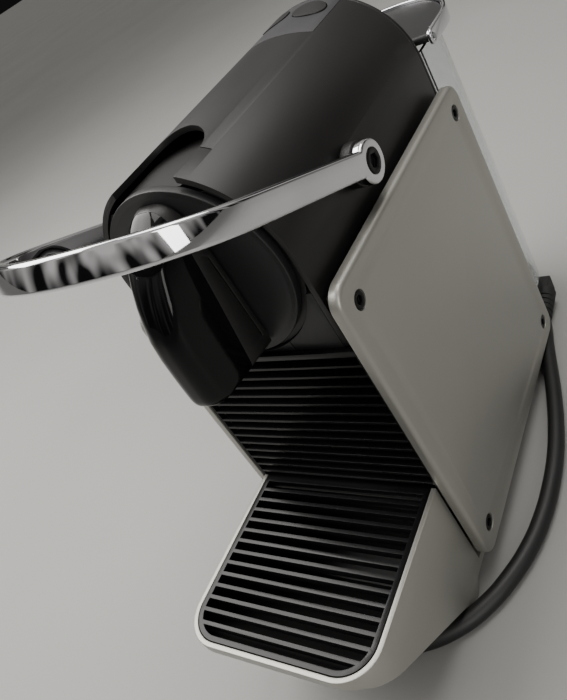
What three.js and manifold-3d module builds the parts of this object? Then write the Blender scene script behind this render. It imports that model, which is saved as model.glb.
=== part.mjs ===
// Compact lever-operated pod coffee machine, built as an assembly of separate pieces.
// Millimetres. X is the machine's width, -Y its front, +Z up, with the table at Z = 0.
// The origin is the middle of the machine's footprint, without its mains lead.
import * as THREE from 'three';
import { mergeVertices } from 'three/addons/utils/BufferGeometryUtils.js';
import Module from 'manifold-3d';

const wasm = await Module();
wasm.setup();

// ---- Driving dimensions ------------------------------------------------------------

// Gaps
const CLEAR = 0.3; // between pieces that touch or slide
const SHELL_SIDE_GAP = 1.3; // between the top shell and the chassis walls

// Top shell and head
const SHELL_RADIUS = 46.5; // the half-round top, outside
const SHELL_WALL = 2.5;
const SHELL_LENGTH = 150.3;
const SLOT_HALF_WIDTH = 17; // capsule slot in the top of the shell
const SLOT_LENGTH = 36;
const DISC_GAP = 2.5; // dark ring round the brew head's front disc
const DISC_THICKNESS = 4;
const DISC_CHAMFER = 1.2;
const DISC_PROUD = 2.5; // how far the disc stands in front of the shell
const FASCIA_THICKNESS = 3.5;
const FASCIA_STRIP = 2.4; // height left below the disc's opening

// Side panels
const PANEL_THICKNESS = 5;
const PANEL_DEPTH = 160;
const PANEL_HEIGHT = 168;
const PANEL_CORNER = 9;
const PANEL_BEVEL = 2;
const PANEL_BOTTOM_Z = 10;
const PANEL_FRONT_Y = -71;
const HEAD_ABOVE_PANEL = 16; // from the panels' top edge up to the head's axis
const SHELL_SETBACK = 4; // of the shell's front edge behind the panels' front edge
const SCREW_INSET = 12.5;
const SCREW_HEAD_RADIUS = 3.7;
const SCREW_HEAD_HEIGHT = 2.2;
const SCREW_SHANK_RADIUS = 1.7;
const SCREW_SUNK = 0.3; // of the head's face below the panel's
const SCREW_HEX = 2.1; // corner radius of the hexagon socket

// Chassis and base
const CHASSIS_WALL = 2.4;
const PARTITION_Y = -8;
const DROP_HOLE = { halfWidth: 18, front: -50, back: -24 };
const BASE_THICKNESS = 8;
const BASE_HALF_WIDTH = 46;
const BASE_REAR_HALF_WIDTH = 38;
const FOOT_HEIGHT = 3;
const FOOT_RADIUS = 8;
const SILL_HALF_WIDTH = 48.5;
const SILL_TOP_Z = 9.3;
const SILL_BOTTOM_Z = 1;

// Ribbed front and capsule container
const RIB_PITCH = 5.74;
const RIB_GROOVE = 3.9;
const RIB_GROOVE_DEPTH = 6;
const RIB_SETBACK = 0.7; // of the ribs' face behind the panels' front edge
const RIB_CORE_DEPTH = 10;
const RIB_END_WALL = 1.2;
const RIBBED_BOTTOM_Z = 50;
const CONTAINER_WALL = 2;
const CONTAINER_DEPTH = 44;
const CONTAINER_HEIGHT = 82;
const CONTAINER_SIDE_GAP = 3.2;

// Drip tray
const TRAY_HALF_WIDTH = 49;
const TRAY_LENGTH = 88.4;
const TRAY_RIM_Z = 65;
const TRAY_FRONT_HEIGHT = 6; // of the tray's blunt front edge
const TRAY_CORNER = 18;
const TRAY_WALL = 2.4;
const TRAY_FLAT_Y = -95.5; // where the flat bottom turns up
const LINER_WALL = 1.6;
const GRILLE_THICKNESS = 4;
const GRILLE_PITCH = 5.83;
const GRILLE_SLOT = 2.9;
const GRILLE_SLOTS = 14;
const GRILLE_BORDER = 3;
const GRILLE_REAR_BORDER = 3.6;

// Coffee outlet
const OUTLET_HALF_WIDTH = 14.5;
const OUTLET_REACH = 35.7;
const OUTLET_RISE = 58.5; // from its widest level up to its tip
const OUTLET_WIDEST_BELOW_AXIS = 22;
const OUTLET_DROP = 13.6; // from its widest level down to its mouth
const OUTLET_NOSE_RADIUS = 8.8;
const OUTLET_JET_RADIUS = 1.8;

// Lever
const LEVER_ANGLE = 22.5; // above the horizontal, closed
const LEVER_OPENING = 75;
const LEVER_SIDE_GAP = 5.5; // between the top shell and the lever's arms
const LEVER_THICKNESS = 5;
const LEVER_HEIGHT = 11;
const LEVER_STRAIGHT = 80;
const LEVER_BOW = 46;
const LEVER_EYE_RADIUS = 9;
const LEVER_BEVEL = 1.3;
const PIVOT_Y = -10;
const PIVOT_ABOVE_AXIS = 1.5;
const STUB_RADIUS = 5;
const BUSH_RADIUS = 9.5;
const BUSH_NECK_RADIUS = 7;
const CRANK_RADIUS = 22;
const CRANK_PLATE = 3;
const CRANK_INNER_X = 30;
const CRANK_PIN_RADIUS = 2.5;
const CRANK_PIN_LENGTH = 5.7;
const PIVOT_SCREW_HEAD_RADIUS = 5.4;
const PIVOT_SCREW_HEX = 3.4;

// Brew group
const CARRIAGE_HALF_WIDTH = 20.5;
const CARRIAGE_HALF_HEIGHT = 20;
const CARRIAGE_LENGTH = 54;
const CHAMBER_RADIUS = 16;
const CHAMBER_DEPTH = 34;
const PLATE_RADIUS = 22;
const PLATE_THICKNESS = 4.7;
const SLOT_COVER_THICKNESS = 2.5;
const SLOT_COVER_BELOW_TOP = 8; // of the cover's face below the top of the shell
const GUIDE_WALL = 2.6;
const GUIDE_WALL_HEIGHT = 22;
const YOKE_SLOT_EXTRA = 2.2;
const YOKE_THICKNESS = 3.5;

// Control panel and buttons
const CONTROL_HALF_WIDTH = 21.5;
const CONTROL_LENGTH = 39;
const BUTTON_RADIUS = 8.3;
const BUTTON_SPACING = 20.4;
const BUTTON_FROM_REAR = 11.3;
const BUTTON_TRAVEL = 1.5;
const BUTTON_STEM_RADIUS = 2.5;
const BUTTON_DECK_DROP = 24; // from the top of the shell down to the deck

// Water tank
const TANK_HALF_WIDTH = 46;
const TANK_LENGTH = 62;
const TANK_CORNER = 38;
const TANK_BOTTOM_Z = 20;
const TANK_HEIGHT = 176;
const TANK_WALL = 2;
const LID_SIDE_OVERHANG = 2.5;
const LID_REAR_OVERHANG = 7.5;
const LID_THICKNESS = 4.5;
const LID_HINGE_FROM_TANK_FRONT = 11;
const HANDLE_THICKNESS = 2.2;
const HANDLE_HEIGHT = 8;
const LID_PIN_RADIUS = 1.5;
const VALVE_RADIUS = 3;
const VALVE_FROM_TANK_FRONT = 33;

// Mains lead
const LEAD_RADIUS = 4.25;
const LEAD_Z = 4.3;
const GLAND_START = [45, 118, 8.4];
const GLAND_END = [46.4, 99, 5.3];
const COIL_CENTRE = [-114, 42];
const COIL_INNER_RADIUS = 42.5;
const COIL_OUTER_RADIUS = 53.5;
const COIL_LAYERS = 2;
const PLUG_START = [-66, 84, 13.4];

// ---- Worked-out levels and places --------------------------------------------------

const SHELL_INNER = SHELL_RADIUS - SHELL_WALL;
const CHASSIS_INNER_X = SHELL_RADIUS + SHELL_SIDE_GAP;
const CHASSIS_OUTER_X = CHASSIS_INNER_X + CHASSIS_WALL;
const PANEL_INNER_X = CHASSIS_OUTER_X + CLEAR;
const PANEL_OUTER_X = PANEL_INNER_X + PANEL_THICKNESS;
const PANEL_TOP_Z = PANEL_BOTTOM_Z + PANEL_HEIGHT;
const HEAD_Z = PANEL_TOP_Z + HEAD_ABOVE_PANEL;
const SHELL_FRONT_Y = PANEL_FRONT_Y + SHELL_SETBACK;
const SHELL_REAR_Y = SHELL_FRONT_Y + SHELL_LENGTH;
const REAR_COVER_Y = SHELL_REAR_Y + CLEAR + CHASSIS_WALL;
const RING_RADIUS = SHELL_INNER;
const DISC_RADIUS = RING_RADIUS - DISC_GAP;
const LEVER_INNER_X = SHELL_RADIUS + LEVER_SIDE_GAP;
const LEVER_HALF_WIDTH = LEVER_INNER_X + LEVER_THICKNESS;
const FASCIA_BOTTOM_Z = HEAD_Z - RING_RADIUS - FASCIA_STRIP;
const RIB_FACE_Y = PANEL_FRONT_Y + RIB_SETBACK;
const BASE_TOP_Z = FOOT_HEIGHT + BASE_THICKNESS;
const CHASSIS_BOTTOM_Z = BASE_TOP_Z + CLEAR;
const SHELF_TOP_Z = FASCIA_BOTTOM_Z + CHASSIS_WALL;
const SHELL_BOTTOM_Z = SHELF_TOP_Z + CLEAR;
const PIVOT_Z = HEAD_Z + PIVOT_ABOVE_AXIS;
const SHELL_TOP_Z = HEAD_Z + SHELL_RADIUS;
const TRAY_REAR_Y = RIB_FACE_Y - CLEAR;
const TRAY_FRONT_Y = TRAY_REAR_Y - TRAY_LENGTH;
const TRAY_BOTTOM_Z = SILL_TOP_Z + CLEAR;
const DISC_BACK_Y = SHELL_FRONT_Y - DISC_PROUD + DISC_THICKNESS;
const PLATE_BACK_Y = DISC_BACK_Y + CLEAR + PLATE_THICKNESS;
const CARRIAGE_FRONT_Y = PLATE_BACK_Y + CLEAR;
const CRANK_REST = THREE.MathUtils.degToRad(LEVER_OPENING / 2);
const PIN_REST_Y = PIVOT_Y - CRANK_RADIUS * Math.sin(CRANK_REST);
const PIN_REST_Z = PIVOT_Z + CRANK_RADIUS * Math.cos(CRANK_REST);
const TANK_FRONT_Y = REAR_COVER_Y + 0.6;
const TANK_TOP_Z = TANK_BOTTOM_Z + TANK_HEIGHT;
const LID_HALF_WIDTH = TANK_HALF_WIDTH + LID_SIDE_OVERHANG;
const LID_LENGTH = TANK_LENGTH - LID_HINGE_FROM_TANK_FRONT + LID_REAR_OVERHANG;
const LID_CORNER = TANK_CORNER + 2;
const LID_AXIS_Y = TANK_FRONT_Y + LID_HINGE_FROM_TANK_FRONT;
const LID_AXIS_Z = TANK_TOP_Z + CLEAR + LID_THICKNESS / 2;
const VALVE_Y = TANK_FRONT_Y + VALVE_FROM_TANK_FRONT;

// ---- Materials ---------------------------------------------------------------------

function material(color, roughness, metalness) {
  return new THREE.MeshStandardMaterial({ color, roughness, metalness });
}

const BLACK_PLASTIC = material(0x17171a, 0.45, 0);
const GLOSS_BLACK = material(0x0a0a0c, 0.12, 0);
const GREY_PLASTIC = material(0x2b2c2f, 0.5, 0);
const PANEL_SILVER = material(0xa8a49c, 0.42, 0.6);
const CHROME = material(0xe6e6e8, 0.06, 1);
const DARK_STEEL = material(0x2a2a2c, 0.35, 0.9);
const STEEL = material(0xa9adb2, 0.3, 1);
const CLEAR_PLASTIC = material(0xbfc6c9, 0.1, 0);
const RUBBER = material(0x141414, 0.85, 0);
const WHITE_PLASTIC = material(0xd8d6cf, 0.5, 0);
const BOARD_GREEN = material(0x1f5a3a, 0.55, 0);

// ---- Solid helpers -----------------------------------------------------------------

function solid(geometry) {
  const bare = geometry.clone();
  bare.deleteAttribute('normal');
  bare.deleteAttribute('uv');
  const merged = mergeVertices(bare, 1e-4);
  return new wasm.Manifold(new wasm.Mesh({
    numProp: 3,
    vertProperties: new Float32Array(merged.attributes.position.array),
    triVerts: new Uint32Array(merged.index.array),
  }));
}

function geometryOf(body) {
  const mesh = body.getMesh();
  const indexed = new THREE.BufferGeometry();
  indexed.setAttribute('position', new THREE.BufferAttribute(mesh.vertProperties, 3));
  indexed.setIndex(new THREE.BufferAttribute(mesh.triVerts, 1));
  const flat = indexed.toNonIndexed();
  flat.computeVertexNormals();
  return flat;
}

function box(x0, x1, y0, y1, z0, z1) {
  const geometry = new THREE.BoxGeometry(x1 - x0, y1 - y0, z1 - z0);
  geometry.translate((x0 + x1) / 2, (y0 + y1) / 2, (z0 + z1) / 2);
  return solid(geometry);
}

// A box that is the same on both sides of the machine's middle plane.
function wideBox(halfWidth, y0, y1, z0, z1) {
  return box(-halfWidth, halfWidth, y0, y1, z0, z1);
}

function rodX(radius, x0, x1, y, z, sides = 24, endRadius = radius) {
  const geometry = new THREE.CylinderGeometry(radius, endRadius, x1 - x0, sides);
  geometry.rotateZ(Math.PI / 2);
  geometry.translate((x0 + x1) / 2, y, z);
  return solid(geometry);
}

function rodY(radius, y0, y1, x, z, sides = 32, endRadius = radius) {
  const geometry = new THREE.CylinderGeometry(endRadius, radius, y1 - y0, sides);
  geometry.translate(x, (y0 + y1) / 2, z);
  return solid(geometry);
}

function rodZ(radius, z0, z1, x, y, sides = 24) {
  const geometry = new THREE.CylinderGeometry(radius, radius, z1 - z0, sides);
  geometry.rotateX(Math.PI / 2);
  geometry.translate(x, y, (z0 + z1) / 2);
  return solid(geometry);
}

// Extrudes an outline drawn in X and Z from y0 back to y1.
function alongY(shape, y0, y1, curveSegments = 12) {
  const geometry = new THREE.ExtrudeGeometry(shape, { depth: y1 - y0, bevelEnabled: false, curveSegments });
  geometry.rotateX(Math.PI / 2);
  geometry.translate(0, y1, 0);
  return solid(geometry);
}

// Extrudes an outline drawn in Y and Z over both sides of the middle plane.
function acrossX(shape, x0, x1, curveSegments = 12) {
  const geometry = new THREE.ExtrudeGeometry(shape, { depth: x1 - x0, bevelEnabled: false, curveSegments });
  geometry.applyMatrix4(new THREE.Matrix4().makeBasis(
    new THREE.Vector3(0, 1, 0), new THREE.Vector3(0, 0, 1), new THREE.Vector3(1, 0, 0)));
  geometry.translate(x0, 0, 0);
  return solid(geometry);
}

function upZ(shape, z0, z1, curveSegments = 12) {
  const geometry = new THREE.ExtrudeGeometry(shape, { depth: z1 - z0, bevelEnabled: false, curveSegments });
  geometry.translate(0, 0, z0);
  return solid(geometry);
}

function polygon(points) {
  return new THREE.Shape(points.map(([x, y]) => new THREE.Vector2(x, y)));
}

// The shell's end view: straight sides with a half-round top.
function domeOutline(radius, bottomZ) {
  const shape = new THREE.Shape();
  shape.moveTo(radius, bottomZ);
  shape.lineTo(radius, HEAD_Z);
  shape.absarc(0, HEAD_Z, radius, 0, Math.PI, false);
  shape.lineTo(-radius, bottomZ);
  shape.closePath();
  return shape;
}

// A plan outline from y0 back to y1, with rounded front or rear corners.
function roundedPlan(halfWidth, y0, y1, frontRadius, rearRadius) {
  const shape = new THREE.Shape();
  shape.moveTo(-halfWidth + frontRadius, y0);
  shape.lineTo(halfWidth - frontRadius, y0);
  shape.absarc(halfWidth - frontRadius, y0 + frontRadius, frontRadius, -Math.PI / 2, 0, false);
  shape.lineTo(halfWidth, y1 - rearRadius);
  shape.absarc(halfWidth - rearRadius, y1 - rearRadius, rearRadius, 0, Math.PI / 2, false);
  shape.lineTo(-halfWidth + rearRadius, y1);
  shape.absarc(-halfWidth + rearRadius, y1 - rearRadius, rearRadius, Math.PI / 2, Math.PI, false);
  shape.lineTo(-halfWidth, y0 + frontRadius);
  shape.absarc(-halfWidth + frontRadius, y0 + frontRadius, frontRadius, Math.PI, 1.5 * Math.PI, false);
  return shape;
}

function joined(bodies) {
  return bodies.reduce((all, body) => all.add(body));
}

const machine = new THREE.Group();

function addPiece(name, body, finish, parent = machine) {
  const mesh = new THREE.Mesh(geometryOf(body), finish);
  mesh.name = name;
  parent.add(mesh);
  return mesh;
}

const SIDES = [['left', -1], ['right', 1]];

// Mirrors a piece modelled on the right, without turning it inside out.
function onSide(body, side) {
  return side > 0 ? body : body.mirror([1, 0, 0]);
}

// ---- Base, feet and front sill -----------------------------------------------------

const BASE_FRONT_Y = PANEL_FRONT_Y + 11;
const BASE_STEP_Y = REAR_COVER_Y - 8; // where the base narrows for the lead
const BASE_REAR_Y = TANK_FRONT_Y + TANK_LENGTH + 2;

function baseFrame() {
  const front = wideBox(BASE_HALF_WIDTH, BASE_FRONT_Y, BASE_STEP_Y, FOOT_HEIGHT, BASE_TOP_Z);
  const rearPlan = roundedPlan(BASE_REAR_HALF_WIDTH, BASE_STEP_Y - 1, BASE_REAR_Y, 1, 20);
  return front.add(upZ(rearPlan, FOOT_HEIGHT, BASE_TOP_Z, 6));
}

addPiece('base_frame', baseFrame(), BLACK_PLASTIC);

const FOOT_PLACES = {
  front_left: [-34, BASE_FRONT_Y + 14],
  front_right: [34, BASE_FRONT_Y + 14],
  rear_left: [-26, BASE_REAR_Y - 20],
  rear_right: [26, BASE_REAR_Y - 20],
};
for (const [place, [x, y]] of Object.entries(FOOT_PLACES)) {
  addPiece(`foot_${place}`, rodZ(FOOT_RADIUS, 0, FOOT_HEIGHT - CLEAR, x, y, 20), RUBBER);
}

function frontSill() {
  const rise = SILL_TOP_Z - SILL_BOTTOM_Z;
  return acrossX(polygon([
    [BASE_FRONT_Y - CLEAR, SILL_TOP_Z],
    [BASE_FRONT_Y - CLEAR, SILL_BOTTOM_Z + 4.5],
    [BASE_FRONT_Y - 17, SILL_BOTTOM_Z + 4.5],
    [BASE_FRONT_Y - 23, SILL_BOTTOM_Z],
    [TRAY_FLAT_Y + rise, SILL_BOTTOM_Z],
    [TRAY_FLAT_Y, SILL_TOP_Z],
  ].reverse()), -SILL_HALF_WIDTH, SILL_HALF_WIDTH);
}

addPiece('front_sill', frontSill(), PANEL_SILVER);

// ---- Chassis -----------------------------------------------------------------------

const SCREW_YS = [PANEL_FRONT_Y + SCREW_INSET, PANEL_FRONT_Y + PANEL_DEPTH - SCREW_INSET];
const SCREW_ZS = [PANEL_BOTTOM_Z + SCREW_INSET, PANEL_TOP_Z - SCREW_INSET];
const CHASSIS_FRONT_Y = PANEL_FRONT_Y + 5;
const CHASSIS_REAR_Y = REAR_COVER_Y;
const CHASSIS_TOP_Z = PANEL_TOP_Z - 4;

function chassis() {
  const inner = CHASSIS_INNER_X;
  const outer = CHASSIS_OUTER_X;
  const overlap = 1;
  const walls = [-1, 1].map((side) => onSide(
    box(inner, outer, CHASSIS_FRONT_Y, CHASSIS_REAR_Y, CHASSIS_BOTTOM_Z, CHASSIS_TOP_Z), side));
  const span = inner + overlap;
  const rear = wideBox(span, CHASSIS_REAR_Y - CHASSIS_WALL, CHASSIS_REAR_Y, CHASSIS_BOTTOM_Z, SHELF_TOP_Z);
  const floor = wideBox(span, PARTITION_Y, CHASSIS_REAR_Y, CHASSIS_BOTTOM_Z, CHASSIS_BOTTOM_Z + CHASSIS_WALL);
  const partition = wideBox(span, PARTITION_Y, PARTITION_Y + CHASSIS_WALL, CHASSIS_BOTTOM_Z, SHELF_TOP_Z);
  const shelfFront = SHELL_FRONT_Y + FASCIA_THICKNESS + CLEAR;
  const shelf = wideBox(span, shelfFront, CHASSIS_REAR_Y, FASCIA_BOTTOM_Z, SHELF_TOP_Z);
  let body = joined([...walls, rear, floor, partition, shelf]);
  body = body.subtract(wideBox(
    DROP_HOLE.halfWidth, DROP_HOLE.front, DROP_HOLE.back, FASCIA_BOTTOM_Z - 1, SHELF_TOP_Z + 1));
  for (const y of SCREW_YS) {
    for (const z of SCREW_ZS) {
      body = body.subtract(rodX(SCREW_SHANK_RADIUS + CLEAR, -outer - 1, -inner + 1, y, z, 12));
      body = body.subtract(rodX(SCREW_SHANK_RADIUS + CLEAR, inner - 1, outer + 1, y, z, 12));
    }
  }
  return body;
}

addPiece('chassis', chassis(), GREY_PLASTIC);

// ---- Side panels and their screws --------------------------------------------------

function sidePanel() {
  const half = { depth: PANEL_DEPTH / 2 - PANEL_BEVEL, height: PANEL_HEIGHT / 2 - PANEL_BEVEL };
  const corner = PANEL_CORNER - PANEL_BEVEL;
  const shape = roundedPlan(half.depth, -half.height, half.height, corner, corner);
  const geometry = new THREE.ExtrudeGeometry(shape, {
    depth: 2 * PANEL_THICKNESS - 2 * PANEL_BEVEL,
    bevelEnabled: true,
    bevelThickness: PANEL_BEVEL,
    bevelSize: PANEL_BEVEL,
    bevelSegments: 2,
    curveSegments: 5,
  });
  geometry.applyMatrix4(new THREE.Matrix4().makeBasis(
    new THREE.Vector3(0, 1, 0), new THREE.Vector3(0, 0, 1), new THREE.Vector3(1, 0, 0)));
  geometry.translate(
    PANEL_OUTER_X - 2 * PANEL_THICKNESS + PANEL_BEVEL,
    PANEL_FRONT_Y + PANEL_DEPTH / 2,
    PANEL_BOTTOM_Z + PANEL_HEIGHT / 2);
  const middle = PANEL_FRONT_Y + PANEL_DEPTH / 2;
  const keep = box(
    PANEL_INNER_X, PANEL_OUTER_X + 1, middle - PANEL_DEPTH, middle + PANEL_DEPTH, 0, PANEL_TOP_Z + 10);
  let body = solid(geometry).intersect(keep);
  const seatX = PANEL_OUTER_X - SCREW_SUNK - SCREW_HEAD_HEIGHT - CLEAR;
  for (const y of SCREW_YS) {
    for (const z of SCREW_ZS) {
      body = body.subtract(rodX(SCREW_SHANK_RADIUS + CLEAR, PANEL_INNER_X - 1, seatX + 1, y, z, 12));
      body = body.subtract(rodX(SCREW_HEAD_RADIUS + CLEAR, seatX, PANEL_OUTER_X + 1, y, z, 20));
    }
  }
  return body;
}

function socketHexagon(cornerRadius, x0, x1) {
  return rodX(cornerRadius, x0, x1, 0, 0, 6);
}

function panelScrew() {
  const faceX = PANEL_OUTER_X - SCREW_SUNK;
  const underHead = faceX - SCREW_HEAD_HEIGHT;
  const head = rodX(SCREW_HEAD_RADIUS, underHead, faceX, 0, 0, 20);
  const shank = rodX(SCREW_SHANK_RADIUS, CHASSIS_INNER_X - 0.5, underHead + 0.5, 0, 0, 12);
  return head.add(shank).subtract(socketHexagon(SCREW_HEX, faceX - SCREW_HEAD_HEIGHT * 0.7, faceX + 1));
}

for (const [sideName, side] of SIDES) {
  addPiece(`side_panel_${sideName}`, onSide(sidePanel(), side), PANEL_SILVER);
  let number = 1;
  for (const y of SCREW_YS) {
    for (const z of SCREW_ZS) {
      const screw = addPiece(`panel_screw_${sideName}_${number}`, onSide(panelScrew(), side), DARK_STEEL);
      screw.position.set(0, y, z);
      number += 1;
    }
  }
}

// ---- Top shell, rear cover, fascia and disc ----------------------------------------

const SLOT_BACK_Y = SHELL_FRONT_Y + SLOT_LENGTH;
const CONTROL_FRONT_Y = SHELL_REAR_Y - CONTROL_LENGTH;

function slotOutline(halfWidth, frontY, backY) {
  const shape = new THREE.Shape();
  shape.moveTo(-halfWidth, frontY);
  shape.lineTo(halfWidth, frontY);
  shape.lineTo(halfWidth, backY - halfWidth);
  shape.absarc(0, backY - halfWidth, halfWidth, 0, Math.PI, false);
  shape.closePath();
  return shape;
}

function topShell() {
  const outer = alongY(domeOutline(SHELL_RADIUS, SHELL_BOTTOM_Z), SHELL_FRONT_Y, SHELL_REAR_Y, 18);
  const inner = alongY(domeOutline(SHELL_INNER, SHELL_BOTTOM_Z - 1), SHELL_FRONT_Y - 1, SHELL_REAR_Y + 1, 18);
  let body = outer.subtract(inner);
  body = body.subtract(upZ(
    slotOutline(SLOT_HALF_WIDTH, SHELL_FRONT_Y - 1, SLOT_BACK_Y), HEAD_Z + 20, SHELL_TOP_Z + 5, 10));
  body = body.subtract(wideBox(
    CONTROL_HALF_WIDTH + CLEAR, CONTROL_FRONT_Y - CLEAR, SHELL_REAR_Y + 1, HEAD_Z + 10, SHELL_TOP_Z + 5));
  return body.subtract(rodX(
    BUSH_NECK_RADIUS + CLEAR, -SHELL_RADIUS - 1, SHELL_RADIUS + 1, PIVOT_Y, PIVOT_Z, 24));
}

addPiece('top_shell', topShell(), BLACK_PLASTIC);
addPiece('rear_cover', alongY(domeOutline(SHELL_RADIUS, SHELL_BOTTOM_Z), SHELL_REAR_Y + CLEAR,
  REAR_COVER_Y, 18), BLACK_PLASTIC);

function frontFascia() {
  const halfWidth = SHELL_INNER - CLEAR;
  const hornTopZ = HEAD_Z - 16;
  const backY = SHELL_FRONT_Y + FASCIA_THICKNESS;
  const plate = wideBox(halfWidth, SHELL_FRONT_Y, backY, FASCIA_BOTTOM_Z + CLEAR, hornTopZ);
  return plate.subtract(rodY(RING_RADIUS, SHELL_FRONT_Y - 1, backY + 1, 0, HEAD_Z, 48));
}

addPiece('front_fascia', frontFascia(), GREY_PLASTIC);

function headDisc() {
  const profile = [
    [0, 0],
    [DISC_RADIUS - DISC_CHAMFER, 0],
    [DISC_RADIUS, DISC_CHAMFER],
    [DISC_RADIUS, DISC_THICKNESS],
    [0, DISC_THICKNESS],
  ].map(([r, h]) => new THREE.Vector2(r, h));
  const geometry = new THREE.LatheGeometry(profile, 48);
  geometry.translate(0, SHELL_FRONT_Y - DISC_PROUD, HEAD_Z);
  return solid(geometry);
}

addPiece('head_disc', headDisc(), BLACK_PLASTIC);

// ---- Coffee outlet -----------------------------------------------------------------

const OUTLET_BACK_Y = SHELL_FRONT_Y - DISC_PROUD - CLEAR;
const OUTLET_WIDEST_Z = HEAD_Z - OUTLET_WIDEST_BELOW_AXIS;
const OUTLET_MOUTH_Z = OUTLET_WIDEST_Z - OUTLET_DROP;

function coffeeOutlet() {
  const side = new THREE.Shape();
  side.moveTo(OUTLET_BACK_Y, OUTLET_MOUTH_Z);
  side.lineTo(OUTLET_BACK_Y, OUTLET_WIDEST_Z + OUTLET_RISE);
  side.absellipse(OUTLET_BACK_Y, OUTLET_WIDEST_Z, OUTLET_REACH, OUTLET_RISE, Math.PI / 2, Math.PI, false);
  side.lineTo(OUTLET_BACK_Y - OUTLET_REACH, OUTLET_MOUTH_Z + 4);
  side.lineTo(OUTLET_BACK_Y - OUTLET_REACH + 4, OUTLET_MOUTH_Z);
  side.closePath();
  const sideBody = acrossX(side, -OUTLET_HALF_WIDTH, OUTLET_HALF_WIDTH, 14);
  const noseY = OUTLET_BACK_Y - OUTLET_REACH + OUTLET_NOSE_RADIUS;
  const plan = wasm.Manifold.hull([
    rodZ(OUTLET_NOSE_RADIUS, OUTLET_MOUTH_Z - 1, SHELL_TOP_Z, 0, noseY, 32),
    wideBox(OUTLET_HALF_WIDTH, OUTLET_BACK_Y - 1, OUTLET_BACK_Y, OUTLET_MOUTH_Z - 1, SHELL_TOP_Z),
  ]);
  const front = new THREE.Shape();
  const archZ = OUTLET_WIDEST_Z + OUTLET_RISE - OUTLET_HALF_WIDTH;
  front.moveTo(OUTLET_HALF_WIDTH, OUTLET_MOUTH_Z - 1);
  front.lineTo(OUTLET_HALF_WIDTH, archZ);
  front.absarc(0, archZ, OUTLET_HALF_WIDTH, 0, Math.PI, false);
  front.lineTo(-OUTLET_HALF_WIDTH, OUTLET_MOUTH_Z - 1);
  front.closePath();
  let body = sideBody.intersect(plan);
  body = body.intersect(alongY(front, OUTLET_BACK_Y - OUTLET_REACH - 1, OUTLET_BACK_Y + 1, 10));
  for (const x of [-5, 5]) {
    body = body.subtract(rodZ(
      OUTLET_JET_RADIUS, OUTLET_MOUTH_Z - 1, OUTLET_MOUTH_Z + 8, x, OUTLET_BACK_Y - OUTLET_REACH + 14, 12));
  }
  return body;
}

addPiece('coffee_outlet', coffeeOutlet(), GLOSS_BLACK);

// ---- Brew group --------------------------------------------------------------------

function extractionPlate() {
  let body = rodY(PLATE_RADIUS, DISC_BACK_Y + CLEAR, PLATE_BACK_Y, 0, HEAD_Z, 32);
  const holePitch = 8;
  for (const x of [-holePitch, 0, holePitch]) {
    for (const z of [-holePitch, 0, holePitch]) {
      body = body.subtract(rodY(1, PLATE_BACK_Y - 2, PLATE_BACK_Y + 1, x, HEAD_Z + z, 8));
    }
  }
  return body;
}

addPiece('extraction_plate', extractionPlate(), STEEL);

const GUIDE_INNER_X = CARRIAGE_HALF_WIDTH + 0.4;
const GUIDE_FLOOR_TOP_Z = HEAD_Z - CARRIAGE_HALF_HEIGHT - 0.5;
const CARRIAGE_TRAVEL = 2 * CRANK_RADIUS * Math.sin(CRANK_REST);
const GUIDE_BACK_Y = CARRIAGE_FRONT_Y + CARRIAGE_LENGTH + CARRIAGE_TRAVEL + 4;

function brewGuide() {
  const outer = GUIDE_INNER_X + GUIDE_WALL;
  const block = wideBox(
    outer, CARRIAGE_FRONT_Y, GUIDE_BACK_Y, SHELL_BOTTOM_Z, GUIDE_FLOOR_TOP_Z + GUIDE_WALL_HEIGHT);
  const channel = wideBox(
    GUIDE_INNER_X, CARRIAGE_FRONT_Y - 1, GUIDE_BACK_Y + 1, GUIDE_FLOOR_TOP_Z, SHELL_TOP_Z);
  const under = wideBox(
    GUIDE_INNER_X, CARRIAGE_FRONT_Y - 1, GUIDE_BACK_Y + 1, SHELL_BOTTOM_Z - 1,
    GUIDE_FLOOR_TOP_Z - GUIDE_WALL);
  const drop = wideBox(
    DROP_HOLE.halfWidth, DROP_HOLE.front, DROP_HOLE.back, SHELL_BOTTOM_Z - 1, GUIDE_FLOOR_TOP_Z + 1);
  return block.subtract(channel).subtract(under).subtract(drop);
}

addPiece('brew_guide', brewGuide(), STEEL);

const COVER_TOP_Z = SHELL_TOP_Z - SLOT_COVER_BELOW_TOP;
const CHAMBER_BACK_Y = CARRIAGE_FRONT_Y + CHAMBER_DEPTH;
const YOKE_INNER_X = CRANK_INNER_X - CRANK_PIN_LENGTH + 0.1;

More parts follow.
